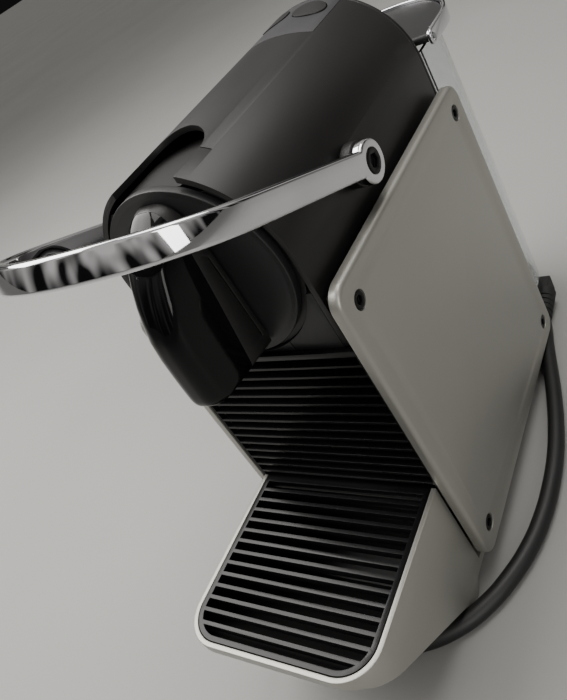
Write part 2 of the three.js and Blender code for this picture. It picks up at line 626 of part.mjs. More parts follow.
function brewCarriage() {
  const frontY = CARRIAGE_FRONT_Y;
  const backY = frontY + CARRIAGE_LENGTH;
  const topZ = HEAD_Z + CARRIAGE_HALF_HEIGHT;
  const block = wideBox(CARRIAGE_HALF_WIDTH, frontY, backY, HEAD_Z - CARRIAGE_HALF_HEIGHT, topZ);
  const coverFrontY = SHELL_FRONT_Y - DISC_PROUD + DISC_THICKNESS + CLEAR;
  const coverOutline = slotOutline(SLOT_HALF_WIDTH - 1, coverFrontY, SLOT_BACK_Y + 3);
  const cover = upZ(coverOutline, COVER_TOP_Z - SLOT_COVER_THICKNESS, COVER_TOP_Z, 8);
  const web = wideBox(3, SLOT_BACK_Y - 22, SLOT_BACK_Y - 4, topZ - 1, COVER_TOP_Z - 1);
  const slotHalf = CRANK_PIN_RADIUS + YOKE_SLOT_EXTRA / 2;
  const yokeTopZ = PIVOT_Z + CRANK_RADIUS + CRANK_PIN_RADIUS;
  const yokeBottomZ = PIN_REST_Z - CRANK_PIN_RADIUS - 7;
  const yokes = [-1, 1].map((side) => onSide(
    box(CARRIAGE_HALF_WIDTH - 1, YOKE_INNER_X + YOKE_THICKNESS, PIN_REST_Y - slotHalf - 5,
      PIN_REST_Y + slotHalf + 5, yokeBottomZ, yokeTopZ), side));
  let body = joined([block, cover, web, ...yokes]);
  body = body.subtract(rodY(CHAMBER_RADIUS, frontY - 1, CHAMBER_BACK_Y, 0, HEAD_Z, 32));
  const pinRoom = CRANK_PIN_RADIUS + 1;
  for (const side of [-1, 1]) {
    body = body.subtract(onSide(box(
      YOKE_INNER_X - 0.7, CRANK_INNER_X + 3, PIN_REST_Y - slotHalf, PIN_REST_Y + slotHalf,
      PIN_REST_Z - pinRoom, yokeTopZ + 1), side));
  }
  return body;
}

function needlePlate() {
  const frontY = CHAMBER_BACK_Y - CLEAR - 2;
  const body = rodY(CHAMBER_RADIUS - CLEAR, frontY, frontY + 2, 0, HEAD_Z, 24);
  const needles = [90, 210, 330].map((degrees) => {
    const angle = THREE.MathUtils.degToRad(degrees);
    return rodY(0.3, frontY - 4.5, frontY + 0.5, 8 * Math.cos(angle), HEAD_Z + 8 * Math.sin(angle), 8, 1.6);
  });
  return joined([body, ...needles]);
}

addPiece('brew_carriage', brewCarriage(), GREY_PLASTIC);
addPiece('needle_plate', needlePlate(), STEEL);

// ---- Lever, cranks, pivots ---------------------------------------------------------

const PIVOT_SCREW_SEAT = 2;

// In its own frame the lever lies flat, its pivots on the X axis and its bow towards -Y.
const leverGroup = new THREE.Group();
leverGroup.position.set(0, PIVOT_Y, PIVOT_Z);
leverGroup.rotation.x = -THREE.MathUtils.degToRad(LEVER_ANGLE);
machine.add(leverGroup);

function leverHandle() {
  const shape = new THREE.Shape();
  shape.moveTo(LEVER_HALF_WIDTH, 0);
  shape.lineTo(LEVER_INNER_X, 0);
  shape.lineTo(LEVER_INNER_X, -LEVER_STRAIGHT);
  shape.absellipse(0, -LEVER_STRAIGHT, LEVER_INNER_X, LEVER_BOW - LEVER_THICKNESS, 0, -Math.PI, true);
  shape.lineTo(-LEVER_INNER_X, 0);
  shape.lineTo(-LEVER_HALF_WIDTH, 0);
  shape.lineTo(-LEVER_HALF_WIDTH, -LEVER_STRAIGHT);
  shape.absellipse(0, -LEVER_STRAIGHT, LEVER_HALF_WIDTH, LEVER_BOW, -Math.PI, 0, false);
  shape.closePath();
  const geometry = new THREE.ExtrudeGeometry(shape, {
    depth: LEVER_HEIGHT - 2 * LEVER_BEVEL,
    bevelEnabled: true,
    bevelThickness: LEVER_BEVEL,
    bevelSize: LEVER_BEVEL,
    bevelOffset: -LEVER_BEVEL,
    bevelSegments: 1,
    curveSegments: 26,
  });
  geometry.translate(0, 0, -LEVER_HEIGHT / 2 + LEVER_BEVEL);
  let body = solid(geometry);
  for (const side of [-1, 1]) {
    const seatX = LEVER_HALF_WIDTH - PIVOT_SCREW_SEAT;
    body = body.add(onSide(rodX(LEVER_EYE_RADIUS, LEVER_INNER_X, LEVER_HALF_WIDTH, 0, 0, 28), side));
    body = body.subtract(onSide(rodX(2.8, LEVER_INNER_X - 1, LEVER_HALF_WIDTH + 1, 0, 0, 16), side));
    body = body.subtract(onSide(
      rodX(PIVOT_SCREW_HEAD_RADIUS + CLEAR, seatX, LEVER_HALF_WIDTH + 1, 0, 0, 24), side));
  }
  return body;
}

function pivotScrew() {
  const seatX = LEVER_HALF_WIDTH - PIVOT_SCREW_SEAT + CLEAR;
  const faceX = LEVER_HALF_WIDTH + 0.6;
  const head = rodX(PIVOT_SCREW_HEAD_RADIUS, seatX, faceX, 0, 0, 24);
  const shank = rodX(2.5, LEVER_INNER_X - 6, seatX + 0.5, 0, 0, 16);
  return head.add(shank).subtract(socketHexagon(PIVOT_SCREW_HEX, faceX - 1.6, faceX + 1));
}

function leverCrank() {
  const outerX = LEVER_INNER_X - CLEAR;
  const angle = CRANK_REST + THREE.MathUtils.degToRad(LEVER_ANGLE);
  const pinY = -CRANK_RADIUS * Math.sin(angle);
  const pinZ = CRANK_RADIUS * Math.cos(angle);
  const plateOuterX = CRANK_INNER_X + CRANK_PLATE;
  const hub = rodX(7, CRANK_INNER_X, plateOuterX, 0, 0, 20);
  const tip = rodX(4, CRANK_INNER_X, plateOuterX, pinY, pinZ, 16);
  const arm = wasm.Manifold.hull([hub, tip]);
  const pin = rodX(CRANK_PIN_RADIUS, CRANK_INNER_X - CRANK_PIN_LENGTH, CRANK_INNER_X + 1, pinY, pinZ, 16);
  const stub = rodX(STUB_RADIUS, CRANK_INNER_X, outerX, 0, 0, 20);
  return joined([arm, pin, stub]).subtract(rodX(2.8, LEVER_INNER_X - 6.5, outerX + 1, 0, 0, 16));
}

function leverBush() {
  const collarX = SHELL_RADIUS + CLEAR;
  const collar = rodX(BUSH_RADIUS, collarX, LEVER_INNER_X - CLEAR, 0, 0, 28);
  const neck = rodX(BUSH_NECK_RADIUS, SHELL_INNER - 2, collarX + 1, 0, 0, 24);
  return collar.add(neck).subtract(rodX(STUB_RADIUS + CLEAR, SHELL_INNER - 3, LEVER_INNER_X + 1, 0, 0, 20));
}

addPiece('lever_handle', leverHandle(), CHROME, leverGroup);
for (const [sideName, side] of SIDES) {
  addPiece(`lever_crank_${sideName}`, onSide(leverCrank(), side), STEEL, leverGroup);
  addPiece(`lever_screw_${sideName}`, onSide(pivotScrew(), side), DARK_STEEL, leverGroup);
  const bush = addPiece(`lever_bush_${sideName}`, onSide(leverBush(), side), BLACK_PLASTIC);
  bush.position.set(0, PIVOT_Y, PIVOT_Z);
}

// ---- Control panel and buttons -----------------------------------------------------

const BUTTON_Y = SHELL_REAR_Y - BUTTON_FROM_REAR;
const BUTTON_BOTTOM_Z = SHELL_TOP_Z - 11;
const DECK_TOP_Z = SHELL_TOP_Z - BUTTON_DECK_DROP;

function controlPanel() {
  const band = alongY(domeOutline(SHELL_RADIUS, HEAD_Z), CONTROL_FRONT_Y, SHELL_REAR_Y, 18)
    .subtract(alongY(domeOutline(SHELL_INNER, HEAD_Z - 1), CONTROL_FRONT_Y - 1, SHELL_REAR_Y + 1, 18));
  const top = band.intersect(wideBox(
    CONTROL_HALF_WIDTH, CONTROL_FRONT_Y - 1, SHELL_REAR_Y + 1, HEAD_Z + 20, SHELL_TOP_Z + 1));
  const legTopZ = SHELL_TOP_Z - 6.5;
  const legs = [-1, 1].map((side) => onSide(
    box(
      CONTROL_HALF_WIDTH - 2, CONTROL_HALF_WIDTH, BUTTON_Y - 9, SHELL_REAR_Y, DECK_TOP_Z - 2, legTopZ,
    ), side));
  const deck = wideBox(CONTROL_HALF_WIDTH - 1, BUTTON_Y - 9, SHELL_REAR_Y, DECK_TOP_Z - 2, DECK_TOP_Z);
  let body = joined([top, ...legs, deck]);
  for (const x of [-BUTTON_SPACING / 2, BUTTON_SPACING / 2]) {
    body = body.subtract(rodZ(BUTTON_RADIUS + CLEAR, SHELL_TOP_Z - 12, SHELL_TOP_Z + 1, x, BUTTON_Y, 28));
  }
  return body;
}

addPiece('control_panel', controlPanel(), GREY_PLASTIC);

function pushButton(x) {
  const dome = alongY(domeOutline(SHELL_RADIUS + 0.6, HEAD_Z), BUTTON_Y - 20, BUTTON_Y + 20, 18);
  const cap = rodZ(BUTTON_RADIUS, BUTTON_BOTTOM_Z, SHELL_TOP_Z + 2, x, BUTTON_Y, 28).intersect(dome);
  return cap.add(rodZ(
    BUTTON_STEM_RADIUS, DECK_TOP_Z + BUTTON_TRAVEL + 1.2, BUTTON_BOTTOM_Z + 1, x, BUTTON_Y, 12,
  ));
}

function buttonSpring(x) {
  const outer = rodZ(
    BUTTON_STEM_RADIUS + 1.9, DECK_TOP_Z + CLEAR, BUTTON_BOTTOM_Z - BUTTON_TRAVEL - CLEAR, x, BUTTON_Y, 16,
  );
  return outer.subtract(rodZ(BUTTON_STEM_RADIUS + 0.9, DECK_TOP_Z - 1, BUTTON_BOTTOM_Z + 1, x, BUTTON_Y, 16));
}

for (const [sideName, side] of SIDES) {
  const x = side * BUTTON_SPACING / 2;
  addPiece(`button_${sideName}`, pushButton(x), BLACK_PLASTIC);
  addPiece(`button_spring_${sideName}`, buttonSpring(x), STEEL);
}

// ---- Ribbed front and used-capsule container ---------------------------------------

const RIBBED_HALF_WIDTH = CHASSIS_INNER_X - CLEAR;
const RIBBED_TOP_Z = FASCIA_BOTTOM_Z - CLEAR;
const RIBBED_PLATE_BACK_Y = SHELL_FRONT_Y - CLEAR;
const RIBBED_PLATE_HALF_WIDTH = PANEL_INNER_X - CLEAR;
const RIBBED_PLATE_TOP_Z = HEAD_Z - RING_RADIUS;
const RIBBED_BACK_Y = RIBBED_PLATE_BACK_Y + RIB_CORE_DEPTH;

function containerFront() {
  const plate = wideBox(
    RIBBED_PLATE_HALF_WIDTH, RIB_FACE_Y, RIBBED_PLATE_BACK_Y, RIBBED_BOTTOM_Z, RIBBED_PLATE_TOP_Z);
  const core = wideBox(
    RIBBED_HALF_WIDTH, RIBBED_PLATE_BACK_Y - 1, RIBBED_BACK_Y, RIBBED_BOTTOM_Z, RIBBED_TOP_Z,
  );
  let body = plate.add(core);
  const grooveHalfWidth = RIBBED_PLATE_HALF_WIDTH - RIB_END_WALL;
  const count = Math.floor((RIBBED_TOP_Z - RIBBED_BOTTOM_Z - 3) / RIB_PITCH);
  for (let index = 0; index < count; index += 1) {
    const z = RIBBED_TOP_Z - 3 - index * RIB_PITCH;
    body = body.subtract(wideBox(
      grooveHalfWidth, RIB_FACE_Y - 1, RIB_FACE_Y + RIB_GROOVE_DEPTH, z - RIB_GROOVE, z));
  }
  return body;
}

function capsuleContainer() {
  const halfWidth = RIBBED_HALF_WIDTH - CONTAINER_SIDE_GAP;
  const frontY = RIBBED_BACK_Y + CLEAR;
  const topZ = RIBBED_BOTTOM_Z + CLEAR + CONTAINER_HEIGHT;
  const outer = wideBox(halfWidth, frontY, frontY + CONTAINER_DEPTH, RIBBED_BOTTOM_Z + CLEAR, topZ);
  return outer.subtract(wideBox(
    halfWidth - CONTAINER_WALL, frontY + CONTAINER_WALL, frontY + CONTAINER_DEPTH - CONTAINER_WALL,
    RIBBED_BOTTOM_Z + CLEAR + CONTAINER_WALL, topZ + 1));
}

addPiece('container_front', containerFront(), BLACK_PLASTIC);
addPiece('capsule_container', capsuleContainer(), BLACK_PLASTIC);

// ---- Drip tray ---------------------------------------------------------------------

// The tray's wedge, shrunk all round by the inset.
function trayWedge(inset, topZ) {
  const frontY = TRAY_FRONT_Y + inset;
  const rearY = TRAY_REAR_Y - inset;
  const slopeEndZ = TRAY_RIM_Z - TRAY_FRONT_HEIGHT;
  const slope = (slopeEndZ - TRAY_BOTTOM_Z) / (TRAY_FLAT_Y - TRAY_FRONT_Y);
  const slant = Math.hypot(1, slope);
  const side = polygon([
    [rearY, topZ],
    [frontY, topZ],
    [frontY, slopeEndZ + inset * (slant - slope)],
    [TRAY_FLAT_Y + inset * (slant - 1) / slope, TRAY_BOTTOM_Z + inset],
    [rearY, TRAY_BOTTOM_Z + inset],
  ]);
  const halfWidth = TRAY_HALF_WIDTH - inset;
  const plan = roundedPlan(halfWidth, frontY, rearY, TRAY_CORNER - inset, 1);
  return acrossX(side, -halfWidth - 1, halfWidth + 1).intersect(upZ(plan, 0, topZ + 1, 7));
}

// The rim is open at the rear, where the grille runs back to the ribbed front.
function dripTrayShell() {
  const grilleHalfWidth = TRAY_HALF_WIDTH - TRAY_WALL;
  const rearOpening = wideBox(
    grilleHalfWidth, TRAY_REAR_Y - TRAY_WALL - 1, TRAY_REAR_Y + 1, TRAY_RIM_Z - GRILLE_THICKNESS - CLEAR,
    TRAY_RIM_Z + 1);
  return trayWedge(0, TRAY_RIM_Z).subtract(trayWedge(TRAY_WALL, TRAY_RIM_Z + 5)).subtract(rearOpening);
}

const LINER_TOP_Z = TRAY_RIM_Z - GRILLE_THICKNESS - CLEAR;

function dripTrayLiner() {
  const outer = trayWedge(TRAY_WALL + CLEAR, LINER_TOP_Z);
  return outer.subtract(trayWedge(TRAY_WALL + CLEAR + LINER_WALL, LINER_TOP_Z + 5));
}

function dripGrille() {
  const inset = TRAY_WALL + CLEAR;
  const frontY = TRAY_FRONT_Y + inset;
  const rearY = TRAY_REAR_Y - CLEAR;
  const plan = roundedPlan(TRAY_HALF_WIDTH - inset, frontY, rearY, TRAY_CORNER - inset, 1);
  let body = upZ(plan, TRAY_RIM_Z - GRILLE_THICKNESS, TRAY_RIM_Z, 7);
  for (let index = 0; index < GRILLE_SLOTS; index += 1) {
    const y = rearY - GRILLE_REAR_BORDER - index * GRILLE_PITCH;
    const intoCorner = Math.max(0, frontY + TRAY_CORNER - y + GRILLE_SLOT);
    const cornerDrop = TRAY_CORNER - Math.sqrt(Math.max(0, TRAY_CORNER ** 2 - intoCorner ** 2));
    const halfWidth = TRAY_HALF_WIDTH - inset - GRILLE_BORDER - cornerDrop;
    body = body.subtract(wideBox(halfWidth, y - GRILLE_SLOT, y, TRAY_RIM_Z - 10, TRAY_RIM_Z + 1));
  }
  return body;
}

addPiece('drip_tray_shell', dripTrayShell(), PANEL_SILVER);
addPiece('drip_tray_liner', dripTrayLiner(), BLACK_PLASTIC);
addPiece('drip_grille', dripGrille(), BLACK_PLASTIC);

// ---- Water tank --------------------------------------------------------------------

const VALVE_HOLE_RADIUS = VALVE_RADIUS + 1;

function waterTank() {
  const backY = TANK_FRONT_Y + TANK_LENGTH;
  const outer = upZ(
    roundedPlan(TANK_HALF_WIDTH, TANK_FRONT_Y, backY, 4, TANK_CORNER), TANK_BOTTOM_Z, TANK_TOP_Z, 10);
  const inner = upZ(
    roundedPlan(TANK_HALF_WIDTH - TANK_WALL, TANK_FRONT_Y + TANK_WALL, backY - TANK_WALL, 2,
      TANK_CORNER - TANK_WALL), TANK_BOTTOM_Z + TANK_WALL, TANK_TOP_Z + 1, 10);
  const hole = rodZ(VALVE_HOLE_RADIUS, TANK_BOTTOM_Z - 1, TANK_BOTTOM_Z + TANK_WALL + 1, 0, VALVE_Y, 16);
  return outer.subtract(inner).subtract(hole);
}

function tankValve() {
  const seatZ = TANK_BOTTOM_Z + TANK_WALL + CLEAR;
  const stem = rodZ(VALVE_RADIUS, TANK_BOTTOM_Z - 2.5, seatZ + 0.5, 0, VALVE_Y, 16);
  return stem.add(rodZ(VALVE_HOLE_RADIUS + 2.5, seatZ, seatZ + 2, 0, VALVE_Y, 16));
}

function tankSocket() {
  const topZ = TANK_BOTTOM_Z - CLEAR;
  const outer = rodZ(12, BASE_TOP_Z + CLEAR, topZ, 0, VALVE_Y, 24);
  return outer.subtract(rodZ(9, TANK_BOTTOM_Z - 3.5, topZ + 1, 0, VALVE_Y, 24));
}

addPiece('tank_socket', tankSocket(), RUBBER);
addPiece('water_tank', waterTank(), CLEAR_PLASTIC);
addPiece('tank_valve', tankValve(), WHITE_PLASTIC);

// The lid and the carrying handle turn on one pin through the lid's front edge.
const lidGroup = new THREE.Group();
lidGroup.position.set(0, LID_AXIS_Y, LID_AXIS_Z);
machine.add(lidGroup);

function tankLid() {
  const half = LID_THICKNESS / 2;
  const plate = upZ(roundedPlan(LID_HALF_WIDTH, 0, LID_LENGTH, 0.5, LID_CORNER), -half, half, 10);
  const knuckle = rodX(half, -LID_HALF_WIDTH, LID_HALF_WIDTH, 0, 0, 24);
  return plate.add(knuckle).subtract(rodX(
    LID_PIN_RADIUS + 0.1, -LID_HALF_WIDTH - 1, LID_HALF_WIDTH + 1, 0, 0, 16,
  ));
}

function tankHandle() {
  const innerX = LID_HALF_WIDTH + 0.5;
  const outerX = innerX + HANDLE_THICKNESS;
  const gap = 0.5;
  const outer = roundedPlan(
    outerX, -4, LID_LENGTH + gap + HANDLE_THICKNESS, 3, LID_CORNER + gap + HANDLE_THICKNESS,
  );
  const inner = roundedPlan(innerX, -20, LID_LENGTH + gap, 1, LID_CORNER + gap);
  const band = upZ(outer, -HANDLE_HEIGHT / 2, HANDLE_HEIGHT / 2, 10)
    .subtract(upZ(inner, -HANDLE_HEIGHT, HANDLE_HEIGHT, 10));
  return band.subtract(rodX(LID_PIN_RADIUS + CLEAR, -outerX - 1, outerX + 1, 0, 0, 16));
}

addPiece('tank_lid', tankLid(), GREY_PLASTIC, lidGroup);
addPiece('tank_handle', tankHandle(), CHROME, lidGroup);
addPiece('lid_pin', rodX(
  LID_PIN_RADIUS - 0.1, -LID_HALF_WIDTH - 3, LID_HALF_WIDTH + 3, 0, 0, 16,
), STEEL, lidGroup);

// ---- Pump, heater and electronics behind the partition -----------------------------

const BAY_FLOOR_Z = CHASSIS_BOTTOM_Z + CHASSIS_WALL;
const BAY_FRONT_Y = PARTITION_Y + CHASSIS_WALL;
const BAY_BACK_Y = CHASSIS_REAR_Y - CHASSIS_WALL;
const PUMP_RADIUS = 17;
const PUMP_X = -22;
const PUMP_Z = BAY_FLOOR_Z + 26;

function pumpBody() {
  const coil = rodY(PUMP_RADIUS, BAY_FRONT_Y + 8, BAY_FRONT_Y + 44, PUMP_X, PUMP_Z, 24);
  const nose = rodY(7, BAY_FRONT_Y + 43, BAY_FRONT_Y + 66, PUMP_X, PUMP_Z, 16);
  return coil.add(nose);
}

function pumpCradle() {
  const block = box(
    PUMP_X - 19, PUMP_X + 19, BAY_FRONT_Y + 14, BAY_FRONT_Y + 38, BAY_FLOOR_Z + CLEAR, PUMP_Z - 6);
  return block.subtract(rodY(PUMP_RADIUS + CLEAR, BAY_FRONT_Y, BAY_FRONT_Y + 60, PUMP_X, PUMP_Z, 24));
}

function thermoblock() {
  const body = wideBox(26, BAY_FRONT_Y + 6, BAY_FRONT_Y + 62, SHELF_TOP_Z - 52, SHELF_TOP_Z - 20);
  return body.add(wideBox(6, BAY_FRONT_Y + 40, BAY_FRONT_Y + 52, SHELF_TOP_Z - 21, SHELF_TOP_Z - 4));
}

addPiece('pump', pumpBody(), STEEL);
addPiece('pump_cradle', pumpCradle(), RUBBER);
addPiece('thermoblock', thermoblock(), STEEL);
addPiece('flow_meter', rodZ(
  11, BAY_FLOOR_Z + CLEAR, BAY_FLOOR_Z + 16, 26, BAY_BACK_Y - 18, 20,
), WHITE_PLASTIC);
addPiece('control_board', box(10, 44, BAY_FRONT_Y + 8, BAY_FRONT_Y + 10, BAY_FLOOR_Z + 4, BAY_FLOOR_Z + 64),
  BOARD_GREEN);

// A round tube along a smooth curve through the points.
function tube(points, radius, steps, sides) {
  const curve = new THREE.CatmullRomCurve3(points.map((p) => new THREE.Vector3(...p)), false, 'centripetal');
  const section = new THREE.Shape();
  section.absarc(0, 0, radius, 0, 2 * Math.PI, false);
  return solid(new THREE.ExtrudeGeometry(section, {
    steps,
    curveSegments: sides,
    bevelEnabled: false,
    extrudePath: curve,
  }));
}

const hosePoints = [
  [PUMP_X, BAY_FRONT_Y + 66.5, PUMP_Z],
  [PUMP_X, BAY_FRONT_Y + 71, PUMP_Z],
  [PUMP_X, BAY_FRONT_Y + 77, PUMP_Z + 6],
  [PUMP_X + 2, BAY_FRONT_Y + 79, PUMP_Z + 20],
  [PUMP_X + 6, BAY_FRONT_Y + 79, SHELF_TOP_Z - 50],
  [PUMP_X + 8, BAY_FRONT_Y + 74, SHELF_TOP_Z - 38],
  [PUMP_X + 8, BAY_FRONT_Y + 67, SHELF_TOP_Z - 36],
  [PUMP_X + 8, BAY_FRONT_Y + 62.8, SHELF_TOP_Z - 36],
];
addPiece('pressure_hose', tube(hosePoints, 3, 24, 8), WHITE_PLASTIC);

// ---- Mains lead --------------------------------------------------------------------

function cableGland() {
  const block = box(
    BASE_REAR_HALF_WIDTH + CLEAR, 47, GLAND_START[1] - 2, GLAND_START[1] + 12, 1.5, BASE_TOP_Z + 2,
  );
  const start = new THREE.Vector3(...GLAND_START);
  const end = new THREE.Vector3(...GLAND_END);
  const length = start.distanceTo(end);
  const geometry = new THREE.CylinderGeometry(LEAD_RADIUS + 0.7, LEAD_RADIUS + 2, length, 16);
  geometry.translate(0, length / 2, 0);
  const direction = end.clone().sub(start).normalize();
  geometry.applyQuaternion(new THREE.Quaternion().setFromUnitVectors(new THREE.Vector3(0, 1, 0), direction));
  geometry.translate(...GLAND_START);
  return block.add(solid(geometry));
}

addPiece('cable_gland', cableGland(), RUBBER);

const leadPoints = [
  [46.6, 98.1, 5.1],
  [49.6, 87, 4.4],
  [52.5, 75, LEAD_Z],
  [56.5, 61, LEAD_Z],
  [60.8, 46, LEAD_Z],
  [65.2, 29, LEAD_Z],
  [69, 11, LEAD_Z],
  [71.6, -7, LEAD_Z],
  [72.4, -24, LEAD_Z],
  [71.7, -41, LEAD_Z],
  [68.8, -58, LEAD_Z],
  [63.4, -74, LEAD_Z],
  [55.6, -89, LEAD_Z],
  [45, -102, LEAD_Z],
  [31, -112, LEAD_Z],
  [14, -118.5, LEAD_Z],
  [-5, -120.5, LEAD_Z],
  [-24, -117.5, LEAD_Z],
  [-41, -109.5, LEAD_Z],
  [-54, -96.5, LEAD_Z],
  [-61.5, -80, LEAD_Z],
  [-64.8, -61, LEAD_Z],
  [-65.8, -40, LEAD_Z],
  [-66, -18, LEAD_Z],
  [-66, 0, LEAD_Z],
  [-66, 10.8, LEAD_Z],
];
addPiece('lead_run', tube(leadPoints, LEAD_RADIUS, 56, 10), RUBBER);

function leadCoil() {
  const corner = LEAD_RADIUS / 2;
  const bottom = LEAD_Z - LEAD_RADIUS;
  const top = bottom + COIL_LAYERS * 2 * LEAD_RADIUS;
  const profile = [
    [COIL_INNER_RADIUS + corner, bottom],
    [COIL_OUTER_RADIUS - corner, bottom],
    [COIL_OUTER_RADIUS, bottom + corner],
    [COIL_OUTER_RADIUS, top - corner],
    [COIL_OUTER_RADIUS - corner, top],
    [COIL_INNER_RADIUS + corner, top],
    [COIL_INNER_RADIUS, top - corner],
    [COIL_INNER_RADIUS, bottom + corner],
    [COIL_INNER_RADIUS + corner, bottom],
  ].map(([r, z]) => new THREE.Vector2(r, z));
  const geometry = new THREE.LatheGeometry(profile, 36);
  geometry.rotateX(Math.PI / 2);
  geometry.translate(COIL_CENTRE[0], COIL_CENTRE[1], 0);
  return solid(geometry);
}

addPiece('lead_coil', leadCoil(), RUBBER);

function leadPlug() {
  const [x, y, neckZ] = PLUG_START;
  const neckLength = 20;
  const bodyLength = 26;
  const bodyRadius = 17;
  const pinLength = 19;
  const z = bodyRadius + 0.5;
  const bodyY = y + neckLength;
  const pinY = bodyY + bodyLength;
  const neckStart = rodY(LEAD_RADIUS + 0.75, y, y + 2, x, neckZ, 16);
  const neckRoot = rodY(8, bodyY, bodyY + 1, x, z - 2, 20);
  let plug = wasm.Manifold.hull([neckStart, neckRoot]).add(rodY(bodyRadius, bodyY, pinY, x, z, 28));
  for (const offset of [-9.5, 9.5]) {
    plug = plug.add(rodY(2.4, pinY - 1, pinY + pinLength, x + offset, z, 12));
  }
  return plug;
}

addPiece('lead_plug', leadPlug(), RUBBER);

export default machine;
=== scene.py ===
"""Compact lever-operated pod coffee machine, dressed over its own solids. Metres, +Z up, -Y the front."""
import math

import bmesh
import bpy
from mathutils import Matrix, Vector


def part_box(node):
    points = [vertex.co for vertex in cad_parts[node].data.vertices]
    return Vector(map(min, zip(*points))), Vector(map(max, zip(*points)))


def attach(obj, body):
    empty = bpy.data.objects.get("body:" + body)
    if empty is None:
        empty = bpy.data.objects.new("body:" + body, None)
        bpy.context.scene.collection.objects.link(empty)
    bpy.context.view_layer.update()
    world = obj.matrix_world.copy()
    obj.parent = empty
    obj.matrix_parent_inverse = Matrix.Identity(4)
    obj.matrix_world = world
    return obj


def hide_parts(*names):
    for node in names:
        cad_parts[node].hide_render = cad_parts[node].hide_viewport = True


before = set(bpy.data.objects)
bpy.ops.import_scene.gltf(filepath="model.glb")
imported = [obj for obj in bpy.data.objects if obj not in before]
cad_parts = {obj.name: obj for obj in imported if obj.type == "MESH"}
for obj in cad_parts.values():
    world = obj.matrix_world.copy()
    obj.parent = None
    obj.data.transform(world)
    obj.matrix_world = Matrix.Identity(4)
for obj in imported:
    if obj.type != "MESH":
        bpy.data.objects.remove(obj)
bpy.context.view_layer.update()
MM = 0.001

# ---- Camera, floor and lights ----------------------------------------------------------------
# The machine stands on a plain grey table under big softboxes, in a room with dark and light walls.
# The camera looks down on its front right corner and is tilted, as a hand-held one would be.


def srgb(hex_colour, alpha=1.0):
    """An sRGB hex colour as linear red, green and blue."""
    levels = [int(hex_colour[i:i + 2], 16) / 255 for i in (0, 2, 4)]
    return [v / 12.92 if v <= 0.04045 else ((v + 0.055) / 1.055) ** 2.4 for v in levels] + [alpha]


def add_node(tree, kind, settings=None, links=None):
    """Adds one node, with its settings and the sockets that feed it."""
    node = tree.nodes.new(kind)
    for key, value in (settings or {}).items():
        if key in node.inputs:
            node.inputs[key].default_value = value
        else:
            setattr(node, key, value)
    for key, source in (links or {}).items():
        tree.links.new(source, node.inputs[key])
    return node


def finish_material(name, base, other, roughness, grain, depth, patches=40.0, stretch=(1, 1, 1), **shader):
    """A material whose colour drifts between two tones in patches, with a surface grain in mm."""
    material = bpy.data.materials.new(name)
    material.use_nodes = True
    tree = material.node_tree
    tree.nodes.clear()
    output = add_node(tree, "ShaderNodeOutputMaterial")
    place = add_node(tree, "ShaderNodeTexCoord").outputs["Object"]
    turned = add_node(tree, "ShaderNodeMapping", {"Scale": stretch}, {"Vector": place})
    cloud = add_node(tree, "ShaderNodeTexNoise", {"Scale": 1 / (patches * MM), "Detail": 3.0},
                     {"Vector": place})
    fine = add_node(tree, "ShaderNodeTexNoise", {"Scale": 1 / (grain * MM), "Detail": 2.0},
                    {"Vector": turned.outputs[0]})
    tones = add_node(tree, "ShaderNodeValToRGB", {}, {"Fac": cloud.outputs["Fac"]})
    tones.color_ramp.elements[0].position = 0.35
    tones.color_ramp.elements[0].color = srgb(base)
    tones.color_ramp.elements[1].position = 0.7
    tones.color_ramp.elements[1].color = srgb(other)
    wear = add_node(tree, "ShaderNodeMapRange", {"To Min": roughness[0], "To Max": roughness[1]},
                    {"Value": cloud.outputs["Fac"]})
    bump = add_node(tree, "ShaderNodeBump", {"Strength": 1.0, "Distance": depth * MM},
                    {"Height": fine.outputs["Fac"]})
    surface = add_node(tree, "ShaderNodeBsdfPrincipled", shader, {
        "Base Color": tones.outputs["Color"],
        "Roughness": wear.outputs["Result"],
        "Normal": bump.outputs["Normal"],
    })
    tree.links.new(surface.outputs[0], output.inputs["Surface"])
    return material


def primitive(name, maker, **where):
    """Adds a primitive with nothing else selected."""
    bpy.ops.object.select_all(action="DESELECT")
    maker(**where)
    piece = bpy.context.object
    piece.name = piece.data.name = name
    return piece


painted_board = finish_material("matt_painted_board", "949492", "8F8F8D", (0.55, 0.65), 0.9, 0.02, 300)
floor = primitive("table_top", bpy.ops.mesh.primitive_plane_add, size=60)
floor.data.materials.append(painted_board)

camera = primitive("camera", bpy.ops.object.camera_add, location=(0.19946, -0.2328, 0.31036),
                   rotation=[math.radians(a) for a in (56.819, 28.432, 27.875)])
camera.data.lens = 36.77
camera.data.sensor_width = 36
camera.data.shift_y = -0.0857
camera.data.clip_start = 0.01
bpy.context.scene.camera = camera

LIGHTS = {
    # name: (place, turn about X, Y and Z in degrees, width, height, watts)
    "window": ((-0.75, -0.1, 0.95), (0, -38, 8), 0.9, 1.1, 21),
    "ceiling": ((0.15, 0.3, 1.25), (-14, 6, 0), 0.7, 0.7, 9),
    "right_fill": ((1.0, -0.75, 0.6), (62, 0, 53), 0.35, 0.9, 5),
}
for name, (place, turn, width, height, watts) in LIGHTS.items():
    lamp = primitive(name, bpy.ops.object.light_add, type="AREA", location=place,
                     rotation=[math.radians(a) for a in turn])
    lamp.data.shape = "RECTANGLE"
    lamp.data.size = width
    lamp.data.size_y = height
    lamp.data.energy = watts
    lamp.data.color = (1.0, 0.98, 0.95)

